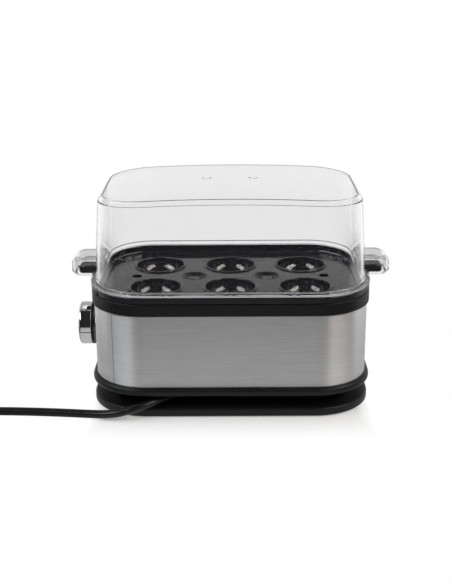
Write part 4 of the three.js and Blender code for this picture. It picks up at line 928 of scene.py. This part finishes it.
def collar_mesh():
    offset = collar_high.x - HALF_WIDTH
    top = collar_high.z
    bottom = sleeve_high.z + FIT
    seat = top - SEAT_DEPTH
    under_seat = seat - SEAT_THICKNESS
    outer, inner = COLLAR_SPIGOT
    foot = bottom - COLLAR_SPIGOT_DEPTH
    mesh = lofted([
        (outer, bottom, 0.2), (offset, bottom, 0.8), (offset, top, 0.9), (-MOUTH_INSET, top, 0.5),
        (-MOUTH_INSET, seat, 0.4), (-SEAT_INSET, seat, 0.3), (-SEAT_INSET, under_seat, 0.3),
        (inner, under_seat, 0.5), (inner, foot, 0.2), (outer, foot, 0.2),
    ], closed=True, steps=4)
    screw_low, screw_high = box_mm("housing_screw_rear_right")
    screw = (screw_low + screw_high) / 2
    posts = in_quarters((screw, collar_low.z, seat - FIT, COLLAR_POST_RADIUS))
    bores = in_quarters((screw, collar_low.z - PAST, screw_high.z + 0.5, SCREW_RADIUS))
    return cut(joined(mesh, *posts), *bores)


piece("rim_collar_moulding", collar_mesh(), BODY, "black_plastic", ["rim_collar"])


# Water pan: drawn sheet with a flange

PAN_SHEET = 0.8
PAN_WALL = -11.7
PAN_FOOT = -13.7
PAN_FILLET = 5.0


def pan_mesh():
    top = pan_high.z
    low = pan_low.z
    offset = pan_high.x - HALF_WIDTH
    return lofted([
        (PAN_FOOT - 12, low, 0), (PAN_FOOT, low, PAN_FILLET), (PAN_WALL, top - PAN_SHEET, 0.8),
        (offset, top - PAN_SHEET, 0.15), (offset, top, 0.15), (PAN_WALL - PAN_SHEET, top, 1.2),
        (PAN_FOOT - PAN_SHEET, low + PAN_SHEET, PAN_FILLET - PAN_SHEET), (PAN_FOOT - 12, low + PAN_SHEET, 0),
    ], steps=6)


piece("water_pan", pan_mesh(), BODY, "coated_aluminium", ["heating_pan"])


# Knob: a chromed cap with a pointer groove, a little shorter than its solid, on a black back

KNOB_EDGE = 2.2
KNOB_SHORTENED = 1.6
KNOB_WALL = 1.7
KNOB_FACE = 2.0
KNOB_SIDES = 96
GROOVE_WIDTH = 6.5
GROOVE_DEPTH = 1.0
GROOVE_FROM = 0.45
POINTER_ANGLE = math.radians(37)
BACK_RIM = 1.8
BACK_RADIUS = 6.4
BACK_BORE = 3.3


def knob_cap_mesh():
    inner = knob_radius - KNOB_WALL
    end = cap_low.x + KNOB_SHORTENED
    cap = along_x(lathed([
        (0, end, 0), (knob_radius, end, KNOB_EDGE), (knob_radius, cap_high.x, 0.3),
        (inner, cap_high.x, 0.2), (inner, end + KNOB_FACE, 0.5), (0, end + KNOB_FACE, 0),
    ], KNOB_SIDES, steps=6))
    groove = block(
        (end - PAST, -knob_radius - PAST, -GROOVE_WIDTH / 2),
        (end + GROOVE_DEPTH, -knob_radius * GROOVE_FROM, GROOVE_WIDTH / 2),
    )
    groove = moved(groove, Matrix.Rotation(-POINTER_ANGLE, 4, "X"))
    return shifted(cut(cap, groove), 0, 0, knob_height)


def knob_skirt_mesh():
    step = skirt_high.x - BACK_RIM
    return along_x(lathed([
        (BACK_BORE, skirt_low.x, 0), (BACK_RADIUS, skirt_low.x, 0.3), (BACK_RADIUS, step, 0.4),
        (knob_radius, step, 0.4), (knob_radius, skirt_high.x, 0.5), (BACK_BORE, skirt_high.x, 0),
    ], KNOB_SIDES, closed=True, steps=4), 0, knob_height)


piece("knob_cap_chromed", knob_cap_mesh(), "knob", "chrome", ["knob_cap"])
piece("knob_back", knob_skirt_mesh(), "knob", "black_plastic", ["knob_skirt"])


# Egg tray

EGG_PITCH = 58.0
CUP_SIDES = 72
CUP_ROOM_RADIUS = 20.4
PLATE_DEPTH = 6.0
PLATE_THICKNESS = 2.0
LUG_LOW_RISE = 0.4
LUG_HEIGHT = 6.4

tray_rim_bottom = collar_high.z + FIT
tray_rim_top = tray_rim_bottom + 5.0
tray_top = tray_rim_top - PLATE_DEPTH
cup_bottom = tray_top - 17.0


CUP_PLACES = [(column * EGG_PITCH, row * EGG_PITCH) for row in (-0.5, 0.5) for column in (-1, 0, 1)]
BOWL_RADIUS = 19.64
BOWL_RISE = 3.13
BOWL_FROM = 1.2
BOWL_STEPS = 10
LIP_RISE = 1.2


def bowl_point(depth):
    return (math.sqrt(BOWL_RADIUS ** 2 - (depth + BOWL_RISE) ** 2), tray_top - depth, 0)


def cup_wall(x, y):
    """The cup's wall: a rounded lip above the plate, a round bowl with a step, open at the bottom."""
    lip = tray_top + LIP_RISE
    return shifted(lathed([
        (10.0, cup_bottom, 0.4), (11.8, cup_bottom, 0.4), (17.2, tray_top - 10.6, 3.5),
        (20.6, tray_top - 2.2, 2.0), (21.6, tray_top - 0.9, 0.3), (21.6, tray_top - 0.25, 0.1),
        (21.2, lip, 0.8), (19.5, lip, 0.8),
        *[bowl_point(BOWL_FROM + step) for step in range(BOWL_STEPS)],
        (13.2, tray_top - 10.9, 0.4), (12.3, tray_top - 13.5, 3.0),
    ], CUP_SIDES, closed=True), x, y, 0)


DIMPLE_RADIUS = 10.6
DIMPLE_DEPTH = 5.0
DIMPLE_STEPS = 11
DIMPLE_SIDES = 64


def dimple_cut():
    """A round dish: its section is an arc from the middle up to the plate."""
    bend = (DIMPLE_RADIUS ** 2 + DIMPLE_DEPTH ** 2) / (2 * DIMPLE_DEPTH)
    profile = []
    for i in range(DIMPLE_STEPS + 1):
        radius = DIMPLE_RADIUS * i / DIMPLE_STEPS
        profile.append((radius, tray_top - DIMPLE_DEPTH + bend - math.sqrt(bend ** 2 - radius ** 2)))
    rim = DIMPLE_RADIUS + 0.5
    profile += [(rim, tray_top + 0.08), (rim, tray_top + PAST), (0, tray_top + PAST)]
    return shifted(turned(profile, DIMPLE_SIDES), EGG_PITCH / 2, 0, 0)


def dimple_shell():
    low = tray_top - DIMPLE_DEPTH - PLATE_THICKNESS
    rim = DIMPLE_RADIUS + 0.5
    return shifted(lathed([
        (0, low, 0), (6.0, low, 5), (rim, tray_top - PLATE_THICKNESS + 0.1, 0.5),
        (rim, tray_top - 0.5, 0), (0, tray_top - 0.5, 0),
    ], DIMPLE_SIDES, steps=4), EGG_PITCH / 2, 0, 0)


def arc_drop(radius, inset):
    """How far a rounded edge lies back from its corner, inset from the corner's side."""
    into = max(radius - inset, 0)
    return radius - math.sqrt(radius ** 2 - into ** 2)


def grip_mesh(inner_x, outer_x, half_width, low, high, plan_radius, edge_radius, top_radius, chamfer,
              low_radius=0.8, slices=9):
    """A grip that reaches outwards from inner_x: rings across Y, rounded at its outer edges.

    plan_radius is that of its corners seen from above, edge_radius that of its side edges."""
    insets = [edge_radius * (1 - math.cos(i / slices * math.pi / 2)) for i in range(slices)]
    insets += [edge_radius + (plan_radius - edge_radius) * i / slices for i in range(slices + 1)]
    insets += [(half_width + plan_radius) / 2, half_width]
    places = [inset - half_width for inset in insets]
    places += [-y for y in reversed(places[:-1])]
    rings = []
    for y in places:
        inset = half_width - abs(y)
        edge_drop = arc_drop(edge_radius, inset)
        x_max = outer_x - max(arc_drop(plan_radius, inset), edge_drop)
        z_max = high - edge_drop
        z_min = low + edge_drop * 0.4
        reach = min(top_radius, z_max - z_min - chamfer - 0.3)
        ring = filleted([
            (inner_x, z_min, 0), (x_max - chamfer, z_min, low_radius), (x_max, z_min + chamfer, low_radius),
            (x_max, z_max, reach), (inner_x, z_max, 0),
        ], steps=10)
        rings.append([Vector((x, y, z)) for x, z in ring])
    return skin(rings)


LID_BASE_INSET = 1.5
LUG_FROM = 0.9
LUG_HALF_WIDTH = 11.0
RISER_HALF_WIDTH = 10.6
RISER_THICKNESS = 4.2
STEAM_HOLE_X = 75.0
STEAM_HOLE_RADIUS = 4.2
SMALL_HOLE = (28.7, 30.8)
SMALL_HOLE_RADIUS = 0.8
TRAY_SPIGOT_DEPTH = 4.0
TRAY_INNER = -3.0

lid_wall_x = HALF_WIDTH - LID_BASE_INSET
lug_low = tray_rim_top + LUG_LOW_RISE
lug_high = lug_low + LUG_HEIGHT


def tray_mesh():
    rim = tray_high.y - HALF_DEPTH
    spigot = -MOUTH_INSET - 0.5
    spigot_low = tray_rim_bottom - TRAY_SPIGOT_DEPTH
    under_plate = tray_top - PLATE_THICKNESS
    mesh = lofted([
        (spigot - 10, under_plate, 0), (spigot - 2, under_plate, 0.5), (spigot - 2, spigot_low, 0.3),
        (spigot, spigot_low, 0.3), (spigot, tray_rim_bottom, 0.3), (rim, tray_rim_bottom, 0.8),
        (rim, tray_rim_top, 0.9), (TRAY_INNER, tray_rim_top, 0.9), (TRAY_INNER - 0.8, tray_top, 2.2),
        (TRAY_INNER - 9, tray_top, 0),
    ], steps=6)
    mesh = joined(mesh, *both_ends(dimple_shell()))
    top = tray_top + PAST
    rooms = [post_at(x, y, cup_bottom - 1, top, CUP_ROOM_RADIUS, CUP_SIDES) for x, y in CUP_PLACES]
    mesh = joined(cut(mesh, *rooms), *[cup_wall(x, y) for x, y in CUP_PLACES])
    steam_hole = post_at(STEAM_HOLE_X, 0, cup_bottom, top, STEAM_HOLE_RADIUS, 40)
    small_hole = post_at(*SMALL_HOLE, cup_bottom, top, SMALL_HOLE_RADIUS, 16)
    mesh = cut(mesh, *both_ends(dimple_cut()), *both_ends(steam_hole), small_hole)
    lug_from = lid_wall_x + LUG_FROM
    lug = grip_mesh(lug_from, tray_high.x, LUG_HALF_WIDTH, lug_low, lug_high, plan_radius=5.0,
                    edge_radius=1.6, top_radius=3.5, chamfer=0.9)
    riser = block((lug_from, -RISER_HALF_WIDTH, tray_rim_bottom + 1.2),
                  (lug_from + RISER_THICKNESS, RISER_HALF_WIDTH, lug_low + 4))
    for end in both_ends(riser) + both_ends(lug):
        mesh = joined(mesh, end)
    return mesh


piece("egg_tray_moulding", tray_mesh(), "tray", "tray_black", ["egg_tray"], sharp=30)


# Clear lid: one closed skin, from the inside of the roof down, round the flange and up to the outside

LID_WALL = 2.4
LID_TOP_WALL = 1.0
LID_TOP_INSET = 5.6
LID_WALL_HEIGHT = 63.9
LID_EDGE_INSET = 3.2
LID_EDGE_RISE = 3.85
LID_EDGE_RADIUS = 0.5
LID_INNER_EDGE_RADIUS = 0.3
LID_INNER_SET_BACK = 0.9
LID_CROWN = 3.9
LID_FLANGE = 3.0
ROOF_SHARES = [0.06, 0.2, 0.36, 0.52, 0.68, 0.82, 0.93, 0.98]
VENT_X = 18.2
VENT_Y = 11.8
VENT_RADIUS = 3.65

lid_bottom = tray_rim_top + FIT
lid_edge = lid_bottom + LID_WALL_HEIGHT
lid_flange_offset = lid_high.y - HALF_DEPTH


def lid_outline(offset, z):
    return outline(offset, z, straight=12)


def crowned(ring):
    return [Vector((p.x, p.y, p.z + LID_CROWN * (1 - (p.x / HALF_WIDTH) ** 2))) for p in ring]


def roof(offset, z, shares):
    ring = lid_outline(offset, z)
    return [crowned([Vector((p.x * share, p.y * share, z)) for p in ring]) for share in shares]


def bevelled_edge(wall, low, inset, high, radius):
    """Points from the wall over a sloped edge to the roof, with both its corners rounded."""
    corners = [
        (wall, low - 3, 0), (wall, low, radius), (wall - inset, high, radius), (wall - inset - 4, high, 0),
    ]
    return filleted(corners, steps=4)[1:-1]


def lid_skin():
    top = lid_edge + LID_EDGE_RISE
    ceiling = top - LID_TOP_WALL
    slope = math.hypot(LID_EDGE_INSET, LID_EDGE_RISE)
    inner_low = lid_edge - LID_TOP_WALL * (slope - LID_EDGE_RISE) / LID_EDGE_INSET
    inner_inset = (ceiling - inner_low) * LID_EDGE_INSET / LID_EDGE_RISE
    inner_wall = -LID_TOP_INSET - LID_TOP_WALL - LID_INNER_SET_BACK
    outer_edge = bevelled_edge(-LID_TOP_INSET, lid_edge, LID_EDGE_INSET, top, LID_EDGE_RADIUS)
    inner_edge = bevelled_edge(inner_wall, inner_low, inner_inset, ceiling, LID_INNER_EDGE_RADIUS)
    flange_top = lid_bottom + LID_FLANGE
    base = filleted([
        (*inner_edge[0], 0), (-LID_BASE_INSET - LID_WALL, lid_bottom, 0.5),
        (lid_flange_offset, lid_bottom, 0.3), (lid_flange_offset, flange_top, 0.4),
        (-LID_BASE_INSET, flange_top, 0.35), (*outer_edge[0], 0),
    ])
    rings = roof(inner_edge[-1].x, ceiling, ROOF_SHARES)
    rings += [crowned(lid_outline(*point)) for point in reversed(inner_edge)]
    rings += [lid_outline(*point) for point in base[1:-1]]
    rings += [crowned(lid_outline(*point)) for point in outer_edge]
    rings += roof(outer_edge[-1].x, top, reversed(ROOF_SHARES))
    return skin(rings)


HOOD_HALF_WIDTH = 14.5
HOOD_HEIGHT = 14.5
HOOD_WALL = 2.4
HOOD_IN_WALL = 1.8

hood_top = lid_low.z + HOOD_HEIGHT


def hood_mesh():
    """A grip's outer shape, from the middle of the lid's wall outwards and clear of the tray's rim."""
    hood = grip_mesh(lid_wall_x - HOOD_IN_WALL, lid_high.x, HOOD_HALF_WIDTH, lid_low.z, hood_top,
                     plan_radius=8.0, edge_radius=2.0, top_radius=6.5, chamfer=2.6, low_radius=0.6)
    below = lid_low.z - PAST
    base = -LID_BASE_INSET - LID_WALL / 2
    top = -LID_TOP_INSET - LID_WALL / 2
    rim = tray_high.y - HALF_DEPTH + FIT
    inside = skin([outline(base, below), outline(base, lid_bottom), outline(top, lid_edge)])
    return cut(cut(hood, inside), skin([outline(rim, below), outline(rim, lid_bottom)]))


NUB_WIDTH = 2.4
NUB_GAP = 3.0
NUB_SPACING = 47.2
NUB_INSET = 3.5
NUB_THICKNESS = 1.5
NUB_FROM = -1.2
NUB_TO = 3.4


def nubs():
    """Three pairs of small blocks inside the flange, at the front and at the back."""
    made = []
    face_y = HALF_DEPTH - NUB_INSET
    for place in (-1, 0, 1):
        for side in (-1, 1):
            x = place * NUB_SPACING + side * (NUB_WIDTH + NUB_GAP) / 2
            made += both_ends(block(
                (x - NUB_WIDTH / 2, face_y - NUB_THICKNESS, lid_bottom + NUB_FROM),
                (x + NUB_WIDTH / 2, face_y, lid_bottom + NUB_TO),
            ))
    return made


def lid_mesh():
    room = grip_mesh(lid_wall_x + FIT, lid_high.x - HOOD_WALL, HOOD_HALF_WIDTH - HOOD_WALL,
                     lid_low.z - 6, hood_top - HOOD_WALL,
                     plan_radius=5.6, edge_radius=0.8, top_radius=4.3, chamfer=0.4, low_radius=0.1)
    mesh = cut(joined(lid_skin(), *both_ends(hood_mesh())), *both_ends(room))
    top = lid_high.z + PAST
    vents = [post_at(x, VENT_Y, lid_edge, top, VENT_RADIUS, 48) for x in (-VENT_X, VENT_X)]
    return cut(joined(mesh, *nubs()), *vents)


piece("lid", lid_mesh(), "lid", "clear_plastic", ["lid_shell"], sharp=30)


# Floor, world and lamps. To the camera all is white but for the soft shadows on the floor near the object.
# What the object mirrors of the floor and the world is dimmer and changes with its place.
# Each pair of strengths goes with a pair of distances in metres from the middle of the object.

FLOOR_HALF = 30000.0
FLOOR_FRONT = -402.0
FLOOR_LOW = -10.0
FLOOR_HIGH = -0.02
FLOOR_COLOUR = (0.93, 0.93, 0.93, 1)
GLOW = (0.27, 1.0)
GLOW_AHEAD = (0.078, 0.11)
GLOW_ASIDE = (0.092, 0.108)
GLOW_BEHIND = (0.03, 0.06)
MIRRORED = (0.62, 0.04)
MIRRORED_AWAY = (0.24, 0.42)
MIRRORED_SHARE = (1.0, 0.45)
MIRRORED_ASIDE = (0.08, 0.2)
BACK_MIRRORED = (0.08, 1.0)
BACK_AWAY = (0.24, 0.45)
BACK_FROM = (-0.05, 0.25)
SIDE_MIRRORED = (0.0, 0.95)
SIDE_ASIDE = (0.27, 0.36)
SIDE_AHEAD = (0.0, 0.15)

# Here the pairs after the strengths are parts of a direction: towards the back, and upwards
AMBIENT = 0.45
WORLD_LEAST = 0.02
WORLD_BACK = (-0.2, 0.2)
WORLD_LOW = (1.0, 0.42)
WORLD_UP = (0.15, 0.33)


def seen_through(tree):
    """1 where the camera sees this surface itself, straight or through the clear lid, and 0 elsewhere."""
    rays = ray_kinds(tree)
    bounces = maths(tree, "ADD", rays["Glossy Depth"], rays["Diffuse Depth"])
    direct = maths(tree, "LESS_THAN", bounces, 0.5)
    through = maths(tree, "MULTIPLY", rays["Is Transmission Ray"], direct)
    return maths(tree, "MAXIMUM", rays["Is Camera Ray"], through)


def make_floor():
    slab = block((-FLOOR_HALF, FLOOR_FRONT, FLOOR_LOW), (FLOOR_HALF, FLOOR_HALF, FLOOR_HIGH))
    floor = holder(slab, "floor")
    material, tree, shader = node_set("floor_white")
    feed(shader, {"Base Color": FLOOR_COLOUR, "Roughness": 0.3})
    place = axes(tree, "Object")
    aside = maths(tree, "ABSOLUTE", place["X"])
    ahead = maths(tree, "MULTIPLY", place["Y"], -1.0)
    length = add_node(tree, "ShaderNodeVectorMath", {0: coordinates(tree, "Object")}, operation="LENGTH")
    away = length.outputs["Value"]

    glow = ranged(tree, ahead, *GLOW, *GLOW_AHEAD)
    glow = maths(tree, "MAXIMUM", glow, ranged(tree, aside, 0.0, 1.0, *GLOW_ASIDE))
    glow = maths(tree, "MAXIMUM", glow, ranged(tree, ahead, 1.0, 0.0, *GLOW_BEHIND))
    seen = seen_through(tree)
    white = add_node(tree, "ShaderNodeEmission").outputs["Emission"]
    lit = either(tree, maths(tree, "MULTIPLY", seen, glow), shader.outputs["BSDF"], white)

    strength = ranged(tree, away, *MIRRORED, *MIRRORED_AWAY)
    narrowed = ranged(tree, aside, *MIRRORED_SHARE, *MIRRORED_ASIDE)
    strength = maths(tree, "MULTIPLY", strength, narrowed)
    back = ranged(tree, place["Y"], 0.0, 1.0, *BACK_FROM)
    back = maths(tree, "MULTIPLY", back, ranged(tree, away, *BACK_MIRRORED, *BACK_AWAY))
    side = ranged(tree, aside, *SIDE_MIRRORED, *SIDE_ASIDE)
    side = maths(tree, "MULTIPLY", side, ranged(tree, ahead, 1.0, 0.0, *SIDE_AHEAD))
    strength = maths(tree, "MAXIMUM", maths(tree, "MAXIMUM", strength, back), side)
    mirrored = add_node(tree, "ShaderNodeEmission", {"Strength": strength}).outputs["Emission"]
    in_mirror = maths(tree, "SUBTRACT", ray_kinds(tree)["Is Glossy Ray"], seen)
    surface(tree, either(tree, maths(tree, "MAXIMUM", in_mirror), lit, mirrored))
    floor.data.materials.append(material)


def make_world():
    world = bpy.data.worlds.new("studio")
    bpy.context.scene.world = world
    world.use_nodes = True
    tree = world.node_tree
    heading = axes(tree, "Generated")
    back = ranged(tree, heading["Y"], 0.0, 1.0, *WORLD_BACK)
    low = ranged(tree, heading["Z"], *WORLD_LOW, *WORLD_UP)
    mirrored = maths(tree, "MAXIMUM", maths(tree, "MULTIPLY", back, low), WORLD_LEAST)
    bounced = maths(tree, "MINIMUM", ray_kinds(tree)["Glossy Depth"], 1.0)
    mirrored = maths(tree, "MULTIPLY", bounced, maths(tree, "SUBTRACT", mirrored, AMBIENT))
    strength = maths(tree, "ADD", mirrored, AMBIENT)
    rest = maths(tree, "MULTIPLY", seen_through(tree), maths(tree, "SUBTRACT", 1.0, strength))
    strength = maths(tree, "ADD", strength, rest)
    feed(tree.nodes["Background"], {"Color": (1, 1, 1, 1), "Strength": strength})


def softbox(name, place, aim_height, size, power, colour=(1, 1, 1)):
    """A lamp that the camera doesn't see, aimed at a point over the middle of the object's foot."""
    data = bpy.data.lights.new(name, "AREA")
    data.shape = "RECTANGLE"
    data.size, data.size_y = size
    data.energy = power
    data.color = colour
    lamp = bpy.data.objects.new(name, data)
    lamp.location = place
    direction = Vector((0, 0, aim_height)) - lamp.location
    lamp.rotation_mode = "QUATERNION"
    lamp.rotation_quaternion = direction.to_track_quat("-Z", "Y")
    lamp.visible_camera = False
    bpy.context.scene.collection.objects.link(lamp)
    return lamp


make_floor()
make_world()
softbox("softbox_left", (-1.1, -0.56, 0.93), 0.08, (1.25, 0.4), power=10.6, colour=(0.93, 0.96, 1.0))
softbox("softbox_right", (1.1, -0.56, 0.93), 0.08, (1.25, 0.4), power=10.3, colour=(1.0, 0.93, 0.86))
overhead = softbox("overhead", (0, 0.5, 1.4), 0.1, (1.2, 0.7), power=3.0)
overhead.visible_glossy = False

scene = bpy.context.scene
scene.view_settings.view_transform = "Standard"
scene.cycles.max_bounces = 32
scene.cycles.transmission_bounces = 32
scene.cycles.glossy_bounces = 16
